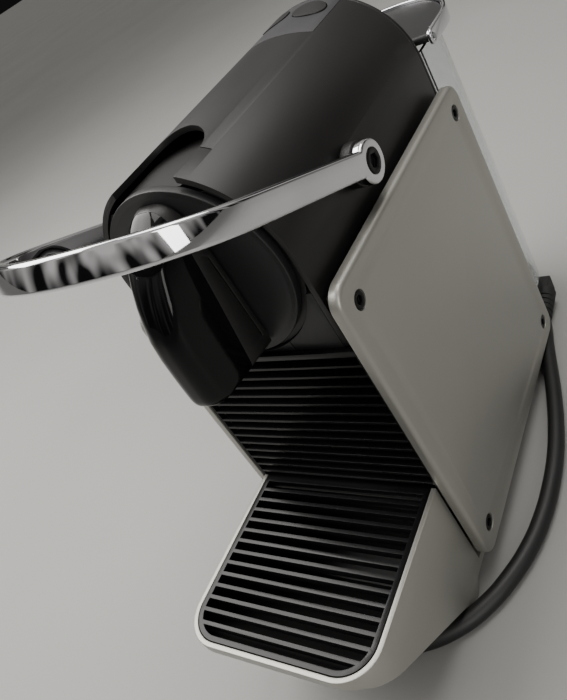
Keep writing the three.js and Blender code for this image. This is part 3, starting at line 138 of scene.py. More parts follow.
# The room is a loose pattern of dark and pale walls, lighter overhead, for the chrome to mirror.
room = bpy.data.worlds.new("furnished_room")
bpy.context.scene.world = room
room.use_nodes = True
sky = room.node_tree
direction = add_node(sky, "ShaderNodeTexCoord").outputs["Generated"]
up = add_node(sky, "ShaderNodeSeparateXYZ", {}, {"Vector": direction}).outputs["Z"]
upright = add_node(sky, "ShaderNodeMapping", {"Scale": (4.5, 4.5, 0.9)}, {"Vector": direction})
things = add_node(sky, "ShaderNodeTexNoise", {"Scale": 1.0, "Detail": 1.0}, {"Vector": upright.outputs[0]})
walls = add_node(sky, "ShaderNodeMath", {"operation": "MULTIPLY_ADD"}, {0: up, 2: things.outputs["Fac"]})
walls.inputs[1].default_value = 0.35
shade = add_node(sky, "ShaderNodeValToRGB", {}, {"Fac": walls.outputs[0]})
shade.color_ramp.elements[0].position = 0.49
shade.color_ramp.elements[0].color = srgb("1B1A1A")
shade.color_ramp.elements[1].position = 0.74
shade.color_ramp.elements[1].color = srgb("F1EEEA")
sky.links.new(shade.outputs["Color"], sky.nodes["Background"].inputs["Color"])
sky.nodes["Background"].inputs["Strength"].default_value = 0.6

# ---- Mains lead, plug and strain relief ------------------------------------------------------
# An 8.5 mm black PVC lead with a moulded plug, 0.80 m long. It leaves the base on the right,
# runs round under the tray to the left side and lies there in one loop that crosses itself.

LEAD_DIAMETER = 8.5
LEAD_Z = 4.3
COIL_X, COIL_Y, COIL_RADIUS = -114, 42, 48
LEAD_TOP_Z = LEAD_Z + LEAD_DIAMETER + 0.1
PLUG_START = (-66, 84, 13.4)

LEAD_ROUTE = [
    (46.6, 98.1, 5.1), (49.6, 87, 4.4), (52.5, 75, LEAD_Z), (56.5, 61, LEAD_Z), (60.8, 46, LEAD_Z),
    (65.2, 29, LEAD_Z), (69, 11, LEAD_Z), (71.6, -7, LEAD_Z), (72.4, -24, LEAD_Z), (71.7, -41, LEAD_Z),
    (68.8, -58, LEAD_Z), (63.4, -74, LEAD_Z), (55.6, -89, LEAD_Z), (45, -102, LEAD_Z),
    (31, -112, LEAD_Z), (14, -118.5, LEAD_Z), (-5, -120.5, LEAD_Z), (-24, -117.5, LEAD_Z),
    (-41, -109.5, LEAD_Z), (-54, -96.5, LEAD_Z), (-61.5, -80, LEAD_Z), (-64.8, -61, LEAD_Z),
    (-65.8, -40, LEAD_Z), (-66, -18, LEAD_Z), (-66, 0, LEAD_Z), (-66, 21, LEAD_Z),
]
RISE_FROM, RISE_TO = 272, 334
for degrees in range(0, 361, 15):
    risen = min(1, max(0, (degrees - RISE_FROM) / (RISE_TO - RISE_FROM)))
    height = LEAD_Z + (LEAD_TOP_Z - LEAD_Z) * risen * risen * (3 - 2 * risen)
    LEAD_ROUTE.append((COIL_X + COIL_RADIUS * math.cos(math.radians(degrees)),
                       COIL_Y + COIL_RADIUS * math.sin(math.radians(degrees)), height))
LEAD_ROUTE += [(-66, 56, LEAD_TOP_Z + 0.1), (-66, 70, LEAD_TOP_Z + 0.3), PLUG_START]


def smooth_curve(name, points, radius=0.0):
    """A curve through points given in mm, with a round section of that radius."""
    data = bpy.data.curves.new(name, "CURVE")
    data.dimensions = "3D"
    data.twist_mode = "MINIMUM"
    spline = data.splines.new("BEZIER")
    spline.bezier_points.add(len(points) - 1)
    for knot, point in zip(spline.bezier_points, points):
        knot.co = [value * MM for value in point]
        knot.handle_left_type = knot.handle_right_type = "AUTO"
    spline.resolution_u = 8
    data.bevel_depth = radius * MM
    data.bevel_resolution = 6
    data.use_fill_caps = True
    curve = bpy.data.objects.new(name, data)
    bpy.context.scene.collection.objects.link(curve)
    return curve


def hand_over(piece, body, slot, *nodes):
    """Puts a finished piece on its body and has it stand for the solids it covers."""
    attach(piece, body)
    if nodes:
        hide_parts(*nodes)
    return piece


# PVC jacket, extruded: a soft sheen with faint drag lines.
pvc_jacket = finish_material("extruded_black_pvc", "141415", "1B1B1C", (0.42, 0.55), 1.2, 0.03, 25)
lead = smooth_curve("mains_lead", LEAD_ROUTE, LEAD_DIAMETER / 2)
lead.data.materials.append(pvc_jacket)
hand_over(lead, "root", "rubber", "lead_run", "lead_coil")


def mode(name):
    bpy.ops.object.mode_set(mode=name)


def pick(piece, kind, test):
    """Goes into edit mode and selects what the test accepts by its middle in mm and its direction."""
    bpy.ops.object.select_all(action="DESELECT")
    piece.select_set(True)
    bpy.context.view_layer.objects.active = piece
    mode("EDIT")
    bpy.ops.mesh.select_mode(type=kind)
    bpy.ops.mesh.select_all(action="DESELECT")
    mesh = bmesh.from_edit_mesh(piece.data)
    things = {"VERT": mesh.verts, "EDGE": mesh.edges, "FACE": mesh.faces}[kind]
    for thing in things:
        if kind == "VERT":
            middle, way = thing.co / MM, thing.normal
        elif kind == "EDGE":
            first, second = (v.co for v in thing.verts)
            middle, way = (first + second) / 2 / MM, (second - first).normalized()
        else:
            middle, way = thing.calc_center_median() / MM, thing.normal
        if test(middle, way):
            thing.select_set(True)
    mesh.select_flush_mode()
    bmesh.update_edit_mesh(piece.data)


def settle(piece):
    """Writes the object's place, turn and size into its mesh."""
    bpy.ops.object.select_all(action="DESELECT")
    piece.select_set(True)
    bpy.context.view_layer.objects.active = piece
    bpy.ops.object.transform_apply(location=True, rotation=True, scale=True)
    return piece


def block(name, x, y, z):
    """A cube primitive stretched between three pairs of limits in mm."""
    size = [(high - low) * MM for low, high in (x, y, z)]
    middle = [(high + low) / 2 * MM for low, high in (x, y, z)]
    piece = primitive(name, bpy.ops.mesh.primitive_cube_add, size=1, location=middle)
    piece.scale = size
    return settle(piece)


TURNS = {"X": (0, math.pi / 2, 0), "Y": (-math.pi / 2, 0, 0), "Z": (0, 0, 0)}


def rod(name, axis, radius, ends, place, sides=48, end_radius=None):
    """A cylinder or cone primitive along an axis, between two ends, at its other two places in mm."""
    low, high = ends
    middle = list(place)
    middle.insert("XYZ".index(axis), (low + high) / 2)
    piece = primitive(name, bpy.ops.mesh.primitive_cone_add, vertices=sides, radius1=radius * MM,
                      radius2=(radius if end_radius is None else end_radius) * MM,
                      depth=(high - low) * MM, location=[value * MM for value in middle],
                      rotation=TURNS[axis])
    return settle(piece)


def modify(piece, kind, **settings):
    """Adds a modifier and applies it."""
    bpy.ops.object.select_all(action="DESELECT")
    piece.select_set(True)
    bpy.context.view_layer.objects.active = piece
    modifier = piece.modifiers.new(kind.lower(), kind)
    for key, value in settings.items():
        setattr(modifier, key, value)
    bpy.ops.object.modifier_apply(modifier=modifier.name)
    return piece


def combine(piece, tool, operation="DIFFERENCE"):
    """Cuts, joins or trims a piece with a tool, which is then thrown away."""
    modify(piece, "BOOLEAN", object=tool, operation=operation, solver="EXACT")
    bpy.data.objects.remove(tool)
    return piece


def soften(piece, width, material, segments=3, angle=32, shade=40):
    """Rounds the sharp edges by that many mm, shades the piece and gives it its material."""
    if width:
        modify(piece, "BEVEL", width=width * MM, segments=segments, limit_method="ANGLE",
               angle_limit=math.radians(angle), use_clamp_overlap=True, harden_normals=False)
    bpy.ops.object.shade_smooth_by_angle(angle=math.radians(shade))
    piece.data.materials.clear()
    piece.data.materials.append(material)
    return piece


def round_edges(piece, radius, segments, test):
    """Rounds the chosen edges by a radius in mm."""
    pick(piece, "EDGE", test)
    bpy.ops.mesh.bevel(offset=radius * MM, segments=segments, affect="EDGES")
    mode("OBJECT")
    return piece


plug_x, plug_y, plug_z = PLUG_START
PLUG_RADIUS = 17
PLUG_BODY_Z = PLUG_RADIUS + 0.5
neck_end = plug_y + 20
plug_face = neck_end + 26
neck = rod("mains_plug", "Y", 5, (plug_y, neck_end), (plug_x, plug_z), 32, 8)
pick(neck, "FACE", lambda middle, way: middle.y > neck_end - 0.1)
bpy.ops.transform.translate(value=(0, 0, (PLUG_BODY_Z - 2 - plug_z) * MM))
mode("OBJECT")
plug = combine(neck, rod("plug_body", "Y", PLUG_RADIUS, (neck_end, plug_face), (plug_x, PLUG_BODY_Z), 64),
               "UNION")
for number in range(4):
    groove_y = plug_y + 4 + 3.6 * number
    ring = rod("neck_groove", "Y", 12, (groove_y, groove_y + 1.1), (plug_x, plug_z + 1), 32)
    core = rod("neck_core", "Y", 4.6 + 0.5 * number, (groove_y - 1, groove_y + 3),
               (plug_x, plug_z + 0.3 + 0.4 * number), 32)
    combine(plug, combine(ring, core))
soften(plug, 1.2, pvc_jacket)
hand_over(plug, "root", "rubber", "lead_plug")

# Nickel-plated brass: warm white metal with a soft, slightly handled shine.
nickel_plate = finish_material("nickel_plated_brass", "C9C6BE", "B9B5AB", (0.16, 0.28), 2, 0.004, 8,
                               Metallic=1.0)
for number, offset in enumerate((-9.5, 9.5)):
    pin = rod(f"plug_pin_{number}", "Y", 2.4, (plug_face - 0.5, plug_face + 19),
              (plug_x + offset, PLUG_BODY_Z), 24)
    soften(pin, 1.1, nickel_plate)
    hand_over(pin, "root", "steel")

# The relief is a tapered rubber boot on a small block that fills a notch in the base.
moulded_rubber = finish_material("moulded_black_rubber", "121212", "181818", (0.6, 0.75), 0.8, 0.03, 12)
boot = rod("lead_boot", "Y", 4.9, (98.6, 119), (46.4, 5.3), 32, 6.2)
pick(boot, "VERT", lambda middle, way: middle.y > 118)
bpy.ops.transform.translate(value=(-1.4 * MM, 0, 3.1 * MM))
mode("OBJECT")
for number in range(4):
    groove_y = 102 + 3.4 * number
    combine(boot, combine(rod("boot_groove", "Y", 9, (groove_y, groove_y + 1), (46.1, 6), 24),
                          rod("boot_core", "Y", 4.6 + 0.2 * number, (groove_y - 1, groove_y + 2),
                              (46.2, 5.9 + 0.4 * number), 24)))
combine(boot, block("boot_block", (38.4, 46.9), (116, 129.8), (1.6, 12.9)), "UNION")
soften(boot, 0.5, moulded_rubber)
hand_over(boot, "root", "rubber", "cable_gland")

# ---- Base, feet, chassis and the works inside ------------------------------------------------
# Moulded ABS base and chassis, and the pump, heater and board behind the partition. They are
# plain shapes that hardly show, so the solids stay and only take their finishes.


def dress(material, *nodes):
    """Gives solids that stay as they are a finish of their own."""
    for node in nodes:
        for material_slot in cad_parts[node].material_slots:
            material_slot.material = material


# Spark-textured ABS: an even black with a fine matt tooth that catches a broad soft highlight.
spark_abs = finish_material("spark_textured_black_abs", "100F0F", "141313", (0.42, 0.5), 0.45, 0.022, 60)
# The same resin in dark grey, with a finer tooth.
grey_abs = finish_material("moulded_dark_grey_abs", "19191A", "1D1D1E", (0.42, 0.52), 0.5, 0.018, 50)
drawn_steel = finish_material("drawn_stainless_steel", "A5A8AB", "B6B8BA", (0.24, 0.36), 0.6, 0.01, 20,
                              (1, 0.05, 1), Metallic=1.0)
acetal = finish_material("turned_white_acetal", "DAD7CE", "CFCCC2", (0.35, 0.45), 1, 0.02, 12)
board = finish_material("green_fibreglass_board", "1E5637", "184A2E", (0.3, 0.45), 1.2, 0.03, 6)
cast_metal = finish_material("die_cast_aluminium", "A7A8A9", "8F9091", (0.45, 0.6), 1.4, 0.09, 14,
                             Metallic=1.0)
dress(spark_abs, "base_frame", "chassis", "capsule_container", "drip_tray_liner")
dress(moulded_rubber, "foot_front_left", "foot_front_right", "foot_rear_left", "foot_rear_right",
      "pump_cradle", "tank_socket")
dress(drawn_steel, "extraction_plate", "brew_guide", "needle_plate", "pump", "lid_pin",
      "button_spring_left", "button_spring_right", "lever_crank_left", "lever_crank_right")
dress(acetal, "tank_valve", "flow_meter", "pressure_hose")
dress(board, "control_board")
dress(cast_metal, "thermoblock")

# ---- Top shell and rear cover ----------------------------------------------------------------
# One half-round moulding in spark-textured black ABS, 2.5 mm thick, open at the front for the
# brew head. The pod slot is cut back from its front edge, and a plate closes the rear.

shell_low, shell_high = (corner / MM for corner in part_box("top_shell"))
HEAD_Z = shell_high.z - shell_high.x
SHELL_RADIUS = shell_high.x
SHELL_WALL = 2.5
SLOT_HALF_WIDTH = 17
SLOT_BACK_Y = shell_low.y + 36


def half_round(name, y0, y1, radius=SHELL_RADIUS, bottom=shell_low.z):
    """A block whose two long top edges are rounded until they meet."""
    piece = block(name, (-radius, radius), (y0, y1), (bottom, HEAD_Z + radius))
    round_edges(piece, radius - 0.001, 48, lambda middle, way: middle.z > HEAD_Z + radius - 1
                and abs(way.y) > 0.9)
    modify(piece, "WELD", merge_threshold=0.01 * MM)
    return piece


def slot_tool(name, half_width, front, back, z):
    """A tall block with a round rear end, in the pod slot's outline."""
    tool = block(name, (-half_width, half_width), (front, back), z)
    return round_edges(tool, half_width - 0.01, 16, lambda middle, way: middle.y > back - 1
                       and abs(way.z) > 0.9)


shell = half_round("top_shell_moulding", shell_low.y, shell_high.y)
combine(shell, half_round("shell_core", shell_low.y - 5, shell_high.y + 5, SHELL_RADIUS - SHELL_WALL,
                          shell_low.z - 5))
combine(shell, slot_tool("slot_cutter", SLOT_HALF_WIDTH, shell_low.y - 5, SLOT_BACK_Y,
                         (HEAD_Z + 20, HEAD_Z + 60)))
panel_low, panel_high = (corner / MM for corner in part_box("control_panel"))
PANEL_BOW_RADIUS = 60


def bowed_block(name, gap, rear):
    """A tall block in the control panel's outline, with its bowed front edge."""
    tool = rod(name, "Z", PANEL_BOW_RADIUS + gap, (HEAD_Z + 10, HEAD_Z + 60),
               (0, panel_low.y + PANEL_BOW_RADIUS), 192)
    return combine(tool, block("outline", (panel_low.x - gap, panel_high.x + gap), (panel_low.y - 5, rear),
                               (HEAD_Z + 5, HEAD_Z + 65)), "INTERSECT")


combine(shell, bowed_block("panel_cutter", 0.3, shell_high.y + 5))
PIVOT_Y, PIVOT_Z = -10, HEAD_Z + 1.5
BUSH_NECK_RADIUS = 7
combine(shell, rod("bush_cutter", "X", BUSH_NECK_RADIUS + 0.3, (-60, 60), (PIVOT_Y, PIVOT_Z)))
# The slot's rim has a fine shadow line where its lining meets the shell.
for side in (-1, 1):
    combine(shell, block("rim_seam", sorted((side * 16.5, side * 22)), (SLOT_BACK_Y - 17, SLOT_BACK_Y - 16.5),
                         (HEAD_Z + 41, HEAD_Z + 60)))
soften(shell, 0.5, spark_abs)
hand_over(shell, "root", "black_plastic", "top_shell")

cover_low, cover_high = (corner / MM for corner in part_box("rear_cover"))
rear_cover = soften(half_round("rear_cover_plate", cover_low.y, cover_high.y), 0.6, spark_abs)
hand_over(rear_cover, "root", "black_plastic", "rear_cover")
# The sliding slot cover is part of the carriage and has the shell's finish.
dress(spark_abs, "brew_carriage")

# ---- Control panel and buttons ---------------------------------------------------------------
# A dark grey insert that follows the shell's curve, with two black push buttons side by side.
# Both are moulded ABS; the insert clips in from the rear.

BUTTON_RADIUS = 8.3
BUTTON_X = 10.2
BUTTON_TRAVEL = 1.5
BUTTON_Y = panel_high.y - 11.3
insert = half_round("control_insert", panel_low.y, panel_high.y, bottom=HEAD_Z)
combine(insert, half_round("insert_core", panel_low.y - 5, panel_high.y + 5, SHELL_RADIUS - SHELL_WALL,
                           HEAD_Z - 5))
combine(insert, bowed_block("insert_trim", 0, panel_high.y + 1), "INTERSECT")
for side, name in ((-1, "left"), (1, "right")):
    x = side * BUTTON_X
    combine(insert, rod("button_well", "Z", BUTTON_RADIUS + 0.35, (HEAD_Z + 30, HEAD_Z + 60), (x, BUTTON_Y)))
    button = half_round(f"push_button_{name}", BUTTON_Y - 12, BUTTON_Y + 12, SHELL_RADIUS + 0.5, HEAD_Z)
    # The cap stays clear of its spring when it is pressed, and its stem runs down inside it.
    cap_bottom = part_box(f"button_spring_{name}")[1].z / MM + BUTTON_TRAVEL + 0.3
    stem_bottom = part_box(f"button_{name}")[0].z / MM
    combine(button, rod("button_trim", "Z", BUTTON_RADIUS, (cap_bottom, HEAD_Z + 60), (x, BUTTON_Y)),
            "INTERSECT")
    combine(button, rod("button_stem", "Z", 2.4, (stem_bottom, cap_bottom + 1), (x, BUTTON_Y), 24), "UNION")
    soften(button, 0.6, spark_abs, 4)
    hand_over(button, f"{name}_button", "black_plastic", f"button_{name}")
# The insert's resin is a shade lighter than the other grey parts.
insert_abs = finish_material("moulded_mid_grey_abs", "2C2C2E", "303032", (0.45, 0.55), 0.5, 0.018, 50)
soften(insert, 0.3, insert_abs)
hand_over(insert, "root", "grey_plastic", "control_panel")

# ---- Front fascia and head disc --------------------------------------------------------------
# Satin dark grey ABS. The disc closes the brew head, standing a little proud of the shell with
# a dark gap round it, and the fascia fills in below it with a fine seam each side of the outlet.

fascia_low, fascia_high = (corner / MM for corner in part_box("front_fascia"))
fascia = block("fascia_plate", (fascia_low.x, fascia_high.x), (fascia_low.y, fascia_high.y),
               (fascia_low.z, fascia_high.z))
combine(fascia, rod("fascia_ring", "Y", SHELL_RADIUS - SHELL_WALL, (-80, -50), (0, HEAD_Z), 128))
for side in (-1, 1):
    combine(fascia, block("fascia_seam", (side * 19.5 - 0.25, side * 19.5 + 0.25), (-70, fascia_low.y + 0.9),
                          (140, 170)))
soften(fascia, 0.35, grey_abs)
hand_over(fascia, "root", "grey_plastic", "front_fascia")

disc_low, disc_high = (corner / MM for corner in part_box("head_disc"))
disc = rod("head_disc_moulding", "Y", disc_high.x, (disc_low.y, disc_high.y), (0, HEAD_Z), 128)
pick(disc, "FACE", lambda middle, way: way.y < -0.9)
bpy.ops.mesh.inset(thickness=2.4 * MM)
bpy.ops.mesh.inset(thickness=0.7 * MM)
mode("OBJECT")
pick(disc, "FACE", lambda middle, way: way.y < -0.9 and 38 < math.hypot(middle.x, middle.z - HEAD_Z) < 39.3)
bpy.ops.transform.translate(value=(0, 0.7 * MM, 0))
mode("OBJECT")
soften(disc, 0.5, grey_abs)
hand_over(disc, "root", "black_plastic", "head_disc")

# A thin black shelf behind the disc closes the gap round it as painted shade, so the gap shows dark instead
# of the lit parts inside; it is open at the top for the pod slot.
backing = rod("gap_shade_sheet", "Y", SHELL_RADIUS - SHELL_WALL - 0.1, (disc_high.y + 0.2, disc_high.y + 0.7),
              (0, HEAD_Z), 128)
combine(backing, rod("backing_core", "Y", 36, (-80, -50), (0, HEAD_Z), 96))
combine(backing, block("backing_top", (-50, 50), (-80, -50), (HEAD_Z + 34, HEAD_Z + 60)))
soften(backing, 0, spark_abs)
hand_over(backing, "root", "black_plastic")

# ---- Coffee outlet ---------------------------------------------------------------------------
# A hood in two mouldings: a polished black ABS nose that mirrors the lever, and a matt black
# back half against the disc. The coffee leaves through two jets under its mouth.

outlet_low, outlet_high = (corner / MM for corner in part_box("coffee_outlet"))
OUTLET_BACK_Y = outlet_high.y
# The two mouldings meet on a plane that leans back towards the top.
SPLIT_POINT = (0, -79 * MM, HEAD_Z * MM)
SPLIT_WAY = (0, 0.991, -0.134)
NOSE_TAPER = 0.62
# Height, then the share of the full reach and of the full width there.
OUTLET_LEVELS = [
    (0.5, 0.98, 0.985), (1.4, 0.992, 0.995), (3.4, 1.0, 1.0), (6, 1.0, 1.0), (12, 0.996, 1.0),
    (18, 0.989, 1.0), (25.2, 0.976, 1.0), (32.9, 0.944, 1.0), (40.6, 0.868, 0.995),
    (45.9, 0.803, 0.99), (52.4, 0.702, 0.975), (57.6, 0.6, 0.95), (62, 0.49, 0.895),
    (65.8, 0.375, 0.815), (68.6, 0.275, 0.7), (70.4, 0.2, 0.56), (71.5, 0.14, 0.4), (72, 0.09, 0.2),
]
half_width = outlet_high.x
reach = OUTLET_BACK_Y - outlet_low.y
hood = primitive("outlet_nose", bpy.ops.mesh.primitive_plane_add, size=1,
                 location=(0, (OUTLET_BACK_Y - reach / 2) * MM, outlet_low.z * MM))
hood.scale = (2 * half_width * MM, reach * MM, 1)
settle(hood)
pick(hood, "VERT", lambda middle, way: middle.y < OUTLET_BACK_Y - 1)
bpy.ops.transform.resize(value=(NOSE_TAPER, 1, 1))
bpy.ops.mesh.bevel(offset=7.5 * MM, segments=14, affect="VERTICES")
bpy.ops.mesh.select_all(action="SELECT")
base_centre = (0, OUTLET_BACK_Y * MM, outlet_low.z * MM)
bpy.ops.transform.resize(value=(0.97, 0.965, 1), center_override=base_centre)
shares = (0.965, 0.97)
level_z = 0
for height, reach_share, width_share in OUTLET_LEVELS:
    bpy.ops.mesh.extrude_region_move(TRANSFORM_OT_translate={"value": (0, 0, (height - level_z) * MM)})
    centre = (0, OUTLET_BACK_Y * MM, (outlet_low.z + height) * MM)
    bpy.ops.transform.resize(value=(width_share / shares[1], reach_share / shares[0], 1),
                             center_override=centre)
    shares = (reach_share, width_share)
    level_z = height
bpy.ops.mesh.select_all(action="SELECT")
bpy.ops.mesh.normals_make_consistent(inside=False)
mode("OBJECT")
bpy.ops.object.select_all(action="DESELECT")
hood.select_set(True)
bpy.ops.object.duplicate()
outlet_back = bpy.context.object
outlet_back.name = outlet_back.data.name = "outlet_back_half"
for half in (hood, outlet_back):
    pick(half, "FACE", lambda middle, way: True)
    bpy.ops.mesh.bisect(plane_co=SPLIT_POINT, plane_no=SPLIT_WAY, clear_outer=half is hood,
                        clear_inner=half is outlet_back, use_fill=True)
    mode("OBJECT")
combine(outlet_back, combine(block("back_seam", (-20, 20), (-72.4, -72), (164, 205)),
                             block("seam_core", (-13.2, 13.2), (-75, -70), (160, 210))))
for x in (-4, 4):
    combine(hood, rod("jet", "Z", 1.8, (150, 166), (x, -92), 24))
# Polished ABS straight from a mirror-finished tool.
polished_abs = finish_material("polished_black_abs", "0A0A0B", "0D0D0E", (0.05, 0.09), 9, 0.006, 30,
                               **{"Specular IOR Level": 0.22})
soften(hood, 0.5, polished_abs, angle=50, shade=50)
soften(outlet_back, 0.3, spark_abs, angle=50, shade=50)
hand_over(hood, "root", "gloss_black", "coffee_outlet")
hand_over(outlet_back, "root", "black_plastic")

# ---- Side panels and their screws ------------------------------------------------------------
# Two flat 5 mm panels in silver-grey metallic paint with rounded edges, each held by four
# black socket screws whose heads sit in counterbores just below the painted face.

# Metallic lacquer: fine bright flakes under a satin clear coat.
silver_paint = finish_material("silver_grey_metallic_lacquer", "A09F98", "A3A29B", (0.36, 0.44), 0.5, 0.02,
                               70, Metallic=0.65, **{"Coat Weight": 0.12, "Coat Roughness": 0.3})
# Black-oxide steel: nearly black, with a dull oily shine.
black_oxide = finish_material("black_oxide_steel", "1A1A1B", "242324", (0.3, 0.42), 1.2, 0.02, 4,
                              Metallic=0.9)
SCREW_HEAD = 3.7
PANEL_CORNER = 9
PANEL_EDGE = 2.3


def socket_screw(name, side, radius, seat, face, hexagon, place):
    """A flat-headed screw along X with a hexagon socket."""
    screw = rod(name, "X", radius, sorted((side * seat, side * face)), place, 48)
    combine(screw, rod("socket", "X", hexagon, sorted((side * (face - 1.6), side * (face + 1))), place, 6))
    return soften(screw, 0.3, black_oxide)


for side, name in ((-1, "left"), (1, "right")):
    low, high = (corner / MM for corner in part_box(f"side_panel_{name}"))
    panel = block(f"painted_panel_{name}", (low.x, high.x), (low.y, high.y), (low.z, high.z))
    round_edges(panel, PANEL_CORNER, 10, lambda middle, way: abs(way.x) > 0.9)
    outer = max(abs(low.x), abs(high.x))
    pick(panel, "FACE", lambda middle, way: way.x * side > 0.9)
    bpy.ops.mesh.region_to_loop()
    bpy.ops.mesh.bevel(offset=PANEL_EDGE * MM, segments=5, affect="EDGES")
    mode("OBJECT")
    for number in range(1, 5):
        node = f"panel_screw_{name}_{number}"
        spot = sum(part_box(node), start=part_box(node)[0] * 0) / 2 / MM
        well = rod("counterbore", "X", SCREW_HEAD + 0.5, sorted((side * (outer - 2.8), side * (outer + 1))),
                   (spot.y, spot.z), 48)
        combine(panel, well)
        screw = socket_screw(f"socket_screw_{name}_{number}", side, SCREW_HEAD, outer - 2.7, outer - 0.3,
                             2.1, (spot.y, spot.z))
        hand_over(screw, "root", "dark_steel", node)
    soften(panel, 0.35, silver_paint, angle=50)
    hand_over(panel, "root", "silver_panel", f"side_panel_{name}")
dress(silver_paint, "front_sill")

# ---- Lever -----------------------------------------------------------------------------------
# A flat bar bent to a U and chrome plated, with a round eye at each end that turns on a black
# screw. Pulling it up turns two cranks inside the shell and draws the carriage back.

LEVER_TILT = math.radians(-22.5)
LEVER_MIDDLE_X = 54.5
LEVER_THICKNESS = 5
LEVER_HEIGHT = 11
LEVER_STRAIGHT = 80
LEVER_BOW = 43.5
# Bright nickel-chrome plate: a mirror with the faintest waviness from the polished casting.
chrome_plate = finish_material("bright_chrome_plate", "E4E4E6", "DADADD", (0.03, 0.06), 14, 0.03, 25,
                               Metallic=1.0)
path = [(-LEVER_MIDDLE_X, -8 * step, 0) for step in range(11)]
for step in range(1, 36):
    angle = math.pi * step / 36
    path.append((-LEVER_MIDDLE_X * math.cos(angle), -LEVER_STRAIGHT - LEVER_BOW * math.sin(angle), 0))
path += [(LEVER_MIDDLE_X, -8 * step, 0) for step in range(10, -1, -1)]
guide = smooth_curve("lever_line", path)
guide.data.twist_mode = "Z_UP"
length = sum(math.dist(a, b) for a, b in zip(path, path[1:]))
handle = block("chrome_lever", (0, length), (-LEVER_THICKNESS / 2, LEVER_THICKNESS / 2),
               (-LEVER_HEIGHT / 2, LEVER_HEIGHT / 2))
round_edges(handle, 1.5, 4, lambda middle, way: abs(way.x) > 0.9)
pick(handle, "EDGE", lambda middle, way: abs(way.x) > 0.9)
bpy.ops.mesh.subdivide(number_cuts=200)
mode("OBJECT")
modify(handle, "CURVE", object=guide, deform_axis="POS_X")
bpy.data.objects.remove(guide)
for side, name in ((-1, "left"), (1, "right")):
    ends = sorted((side * 52, side * 57))
    eye = rod("eye", "X", 9.3, ends, (0, 0), 64)
    round_edges(eye, 1.2, 4, lambda middle, way: abs(way.x) < 0.5)
    combine(handle, eye, "UNION")
    combine(handle, rod("eye_well", "X", 5.7, sorted((side * 55, side * 60)), (0, 0)))
    screw = socket_screw(f"pivot_screw_{name}", side, 5.4, 55.1, 57.3, 3.2, (0, 0))
    screw.rotation_euler.x = LEVER_TILT
    screw.location = (0, PIVOT_Y * MM, PIVOT_Z * MM)
    settle(screw)
    hand_over(screw, "lever", "dark_steel", f"lever_screw_{name}")
    bush = rod(f"pivot_bush_{name}", "X", 9.5, sorted((side * 46.8, side * 51.7)), (PIVOT_Y, PIVOT_Z), 64)
    combine(bush, rod("bush_neck", "X", BUSH_NECK_RADIUS, sorted((side * 42, side * 47.5)),
                      (PIVOT_Y, PIVOT_Z)), "UNION")
    combine(bush, rod("bush_bore", "X", 5.3, sorted((side * 41, side * 53)), (PIVOT_Y, PIVOT_Z)))
    soften(bush, 0.7, spark_abs)
    hand_over(bush, "root", "black_plastic", f"lever_bush_{name}")
handle.rotation_euler.x = LEVER_TILT
handle.location = (0, PIVOT_Y * MM, PIVOT_Z * MM)
settle(handle)
soften(handle, 0, chrome_plate, shade=30)
hand_over(handle, "lever", "chrome", "lever_handle")

# ---- Ribbed container front ------------------------------------------------------------------
# The front of the used-pod container: semi-gloss black ABS with level ribs 5.74 mm apart
# between two plain ends. The ribs' round edges show as fine bright lines.

# The same ABS from a smoother tool, so that its edges catch the light.
satin_abs = finish_material("satin_black_abs", "0B0B0C", "0E0E0F", (0.24, 0.32), 1.5, 0.008, 40,
                            **{"Specular IOR Level": 0.3})
rib_low, rib_high = (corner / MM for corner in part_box("container_front"))
RIB_PITCH = 5.74
RIB_GROOVE = 4.5
RIB_GROOVE_DEPTH = 6
RIB_END = 1.2
ribs = block("ribbed_front", (rib_low.x, rib_high.x), (rib_low.y, rib_low.y + 3), (rib_low.z, rib_high.z))
combine(ribs, block("rib_core", (rib_low.x + 3, rib_high.x - 3), (rib_low.y + 2, rib_high.y),
                    (rib_low.z, rib_high.z - 2.6)), "UNION")
grooves = block("grooves", (rib_low.x + RIB_END, rib_high.x - RIB_END),
                (rib_low.y - 2, rib_low.y + RIB_GROOVE_DEPTH),
                (rib_high.z - 2.8 - RIB_GROOVE, rib_high.z - 2.8))
modify(grooves, "ARRAY", use_relative_offset=False, use_constant_offset=True,
       constant_offset_displace=(0, 0, -RIB_PITCH * MM), count=16)
combine(ribs, grooves)
soften(ribs, 0.45, satin_abs)
hand_over(ribs, "drip_unit", "black_plastic", "container_front")

# ---- Drip tray and grille --------------------------------------------------------------------
# The tray is a wedge in the panels' silver lacquer, round at its front corners, with a thin
# rim round a black grille. The grille is one ABS moulding of cross bars that lifts out.

tray_low, tray_high = (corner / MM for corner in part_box("drip_tray_shell"))
TRAY_CORNER = 18
TRAY_WALL = 2.3
TRAY_FRONT_HEIGHT = 6
TRAY_FLAT_Y = -95.5


def tray_plan(name, inset, z, rear=None):
    """A block over the tray's plan, drawn in by the inset, with round front corners."""
    rear = tray_high.y - inset if rear is None else rear
    piece = block(name, (tray_low.x + inset, tray_high.x - inset), (tray_low.y + inset, rear), z)
    return round_edges(piece, TRAY_CORNER - inset, 14, lambda middle, way: abs(way.z) > 0.9
                       and middle.y < tray_low.y + inset + 1)


def tray_wedge(name, inset, top):
    """The tray's body, cut along its sloping underside."""
    piece = tray_plan(name, inset, (tray_low.z + inset, top))
    slope = math.atan2(tray_high.z - TRAY_FRONT_HEIGHT - tray_low.z, TRAY_FLAT_Y - tray_low.y)
    normal = (0, -math.sin(slope), -math.cos(slope))
    on_plane = (0, (TRAY_FLAT_Y - normal[1] * inset) * MM, (tray_low.z - normal[2] * inset) * MM)
    pick(piece, "FACE", lambda middle, way: True)
    bpy.ops.mesh.bisect(plane_co=on_plane, plane_no=normal, clear_outer=True, use_fill=True)
    mode("OBJECT")
    return piece


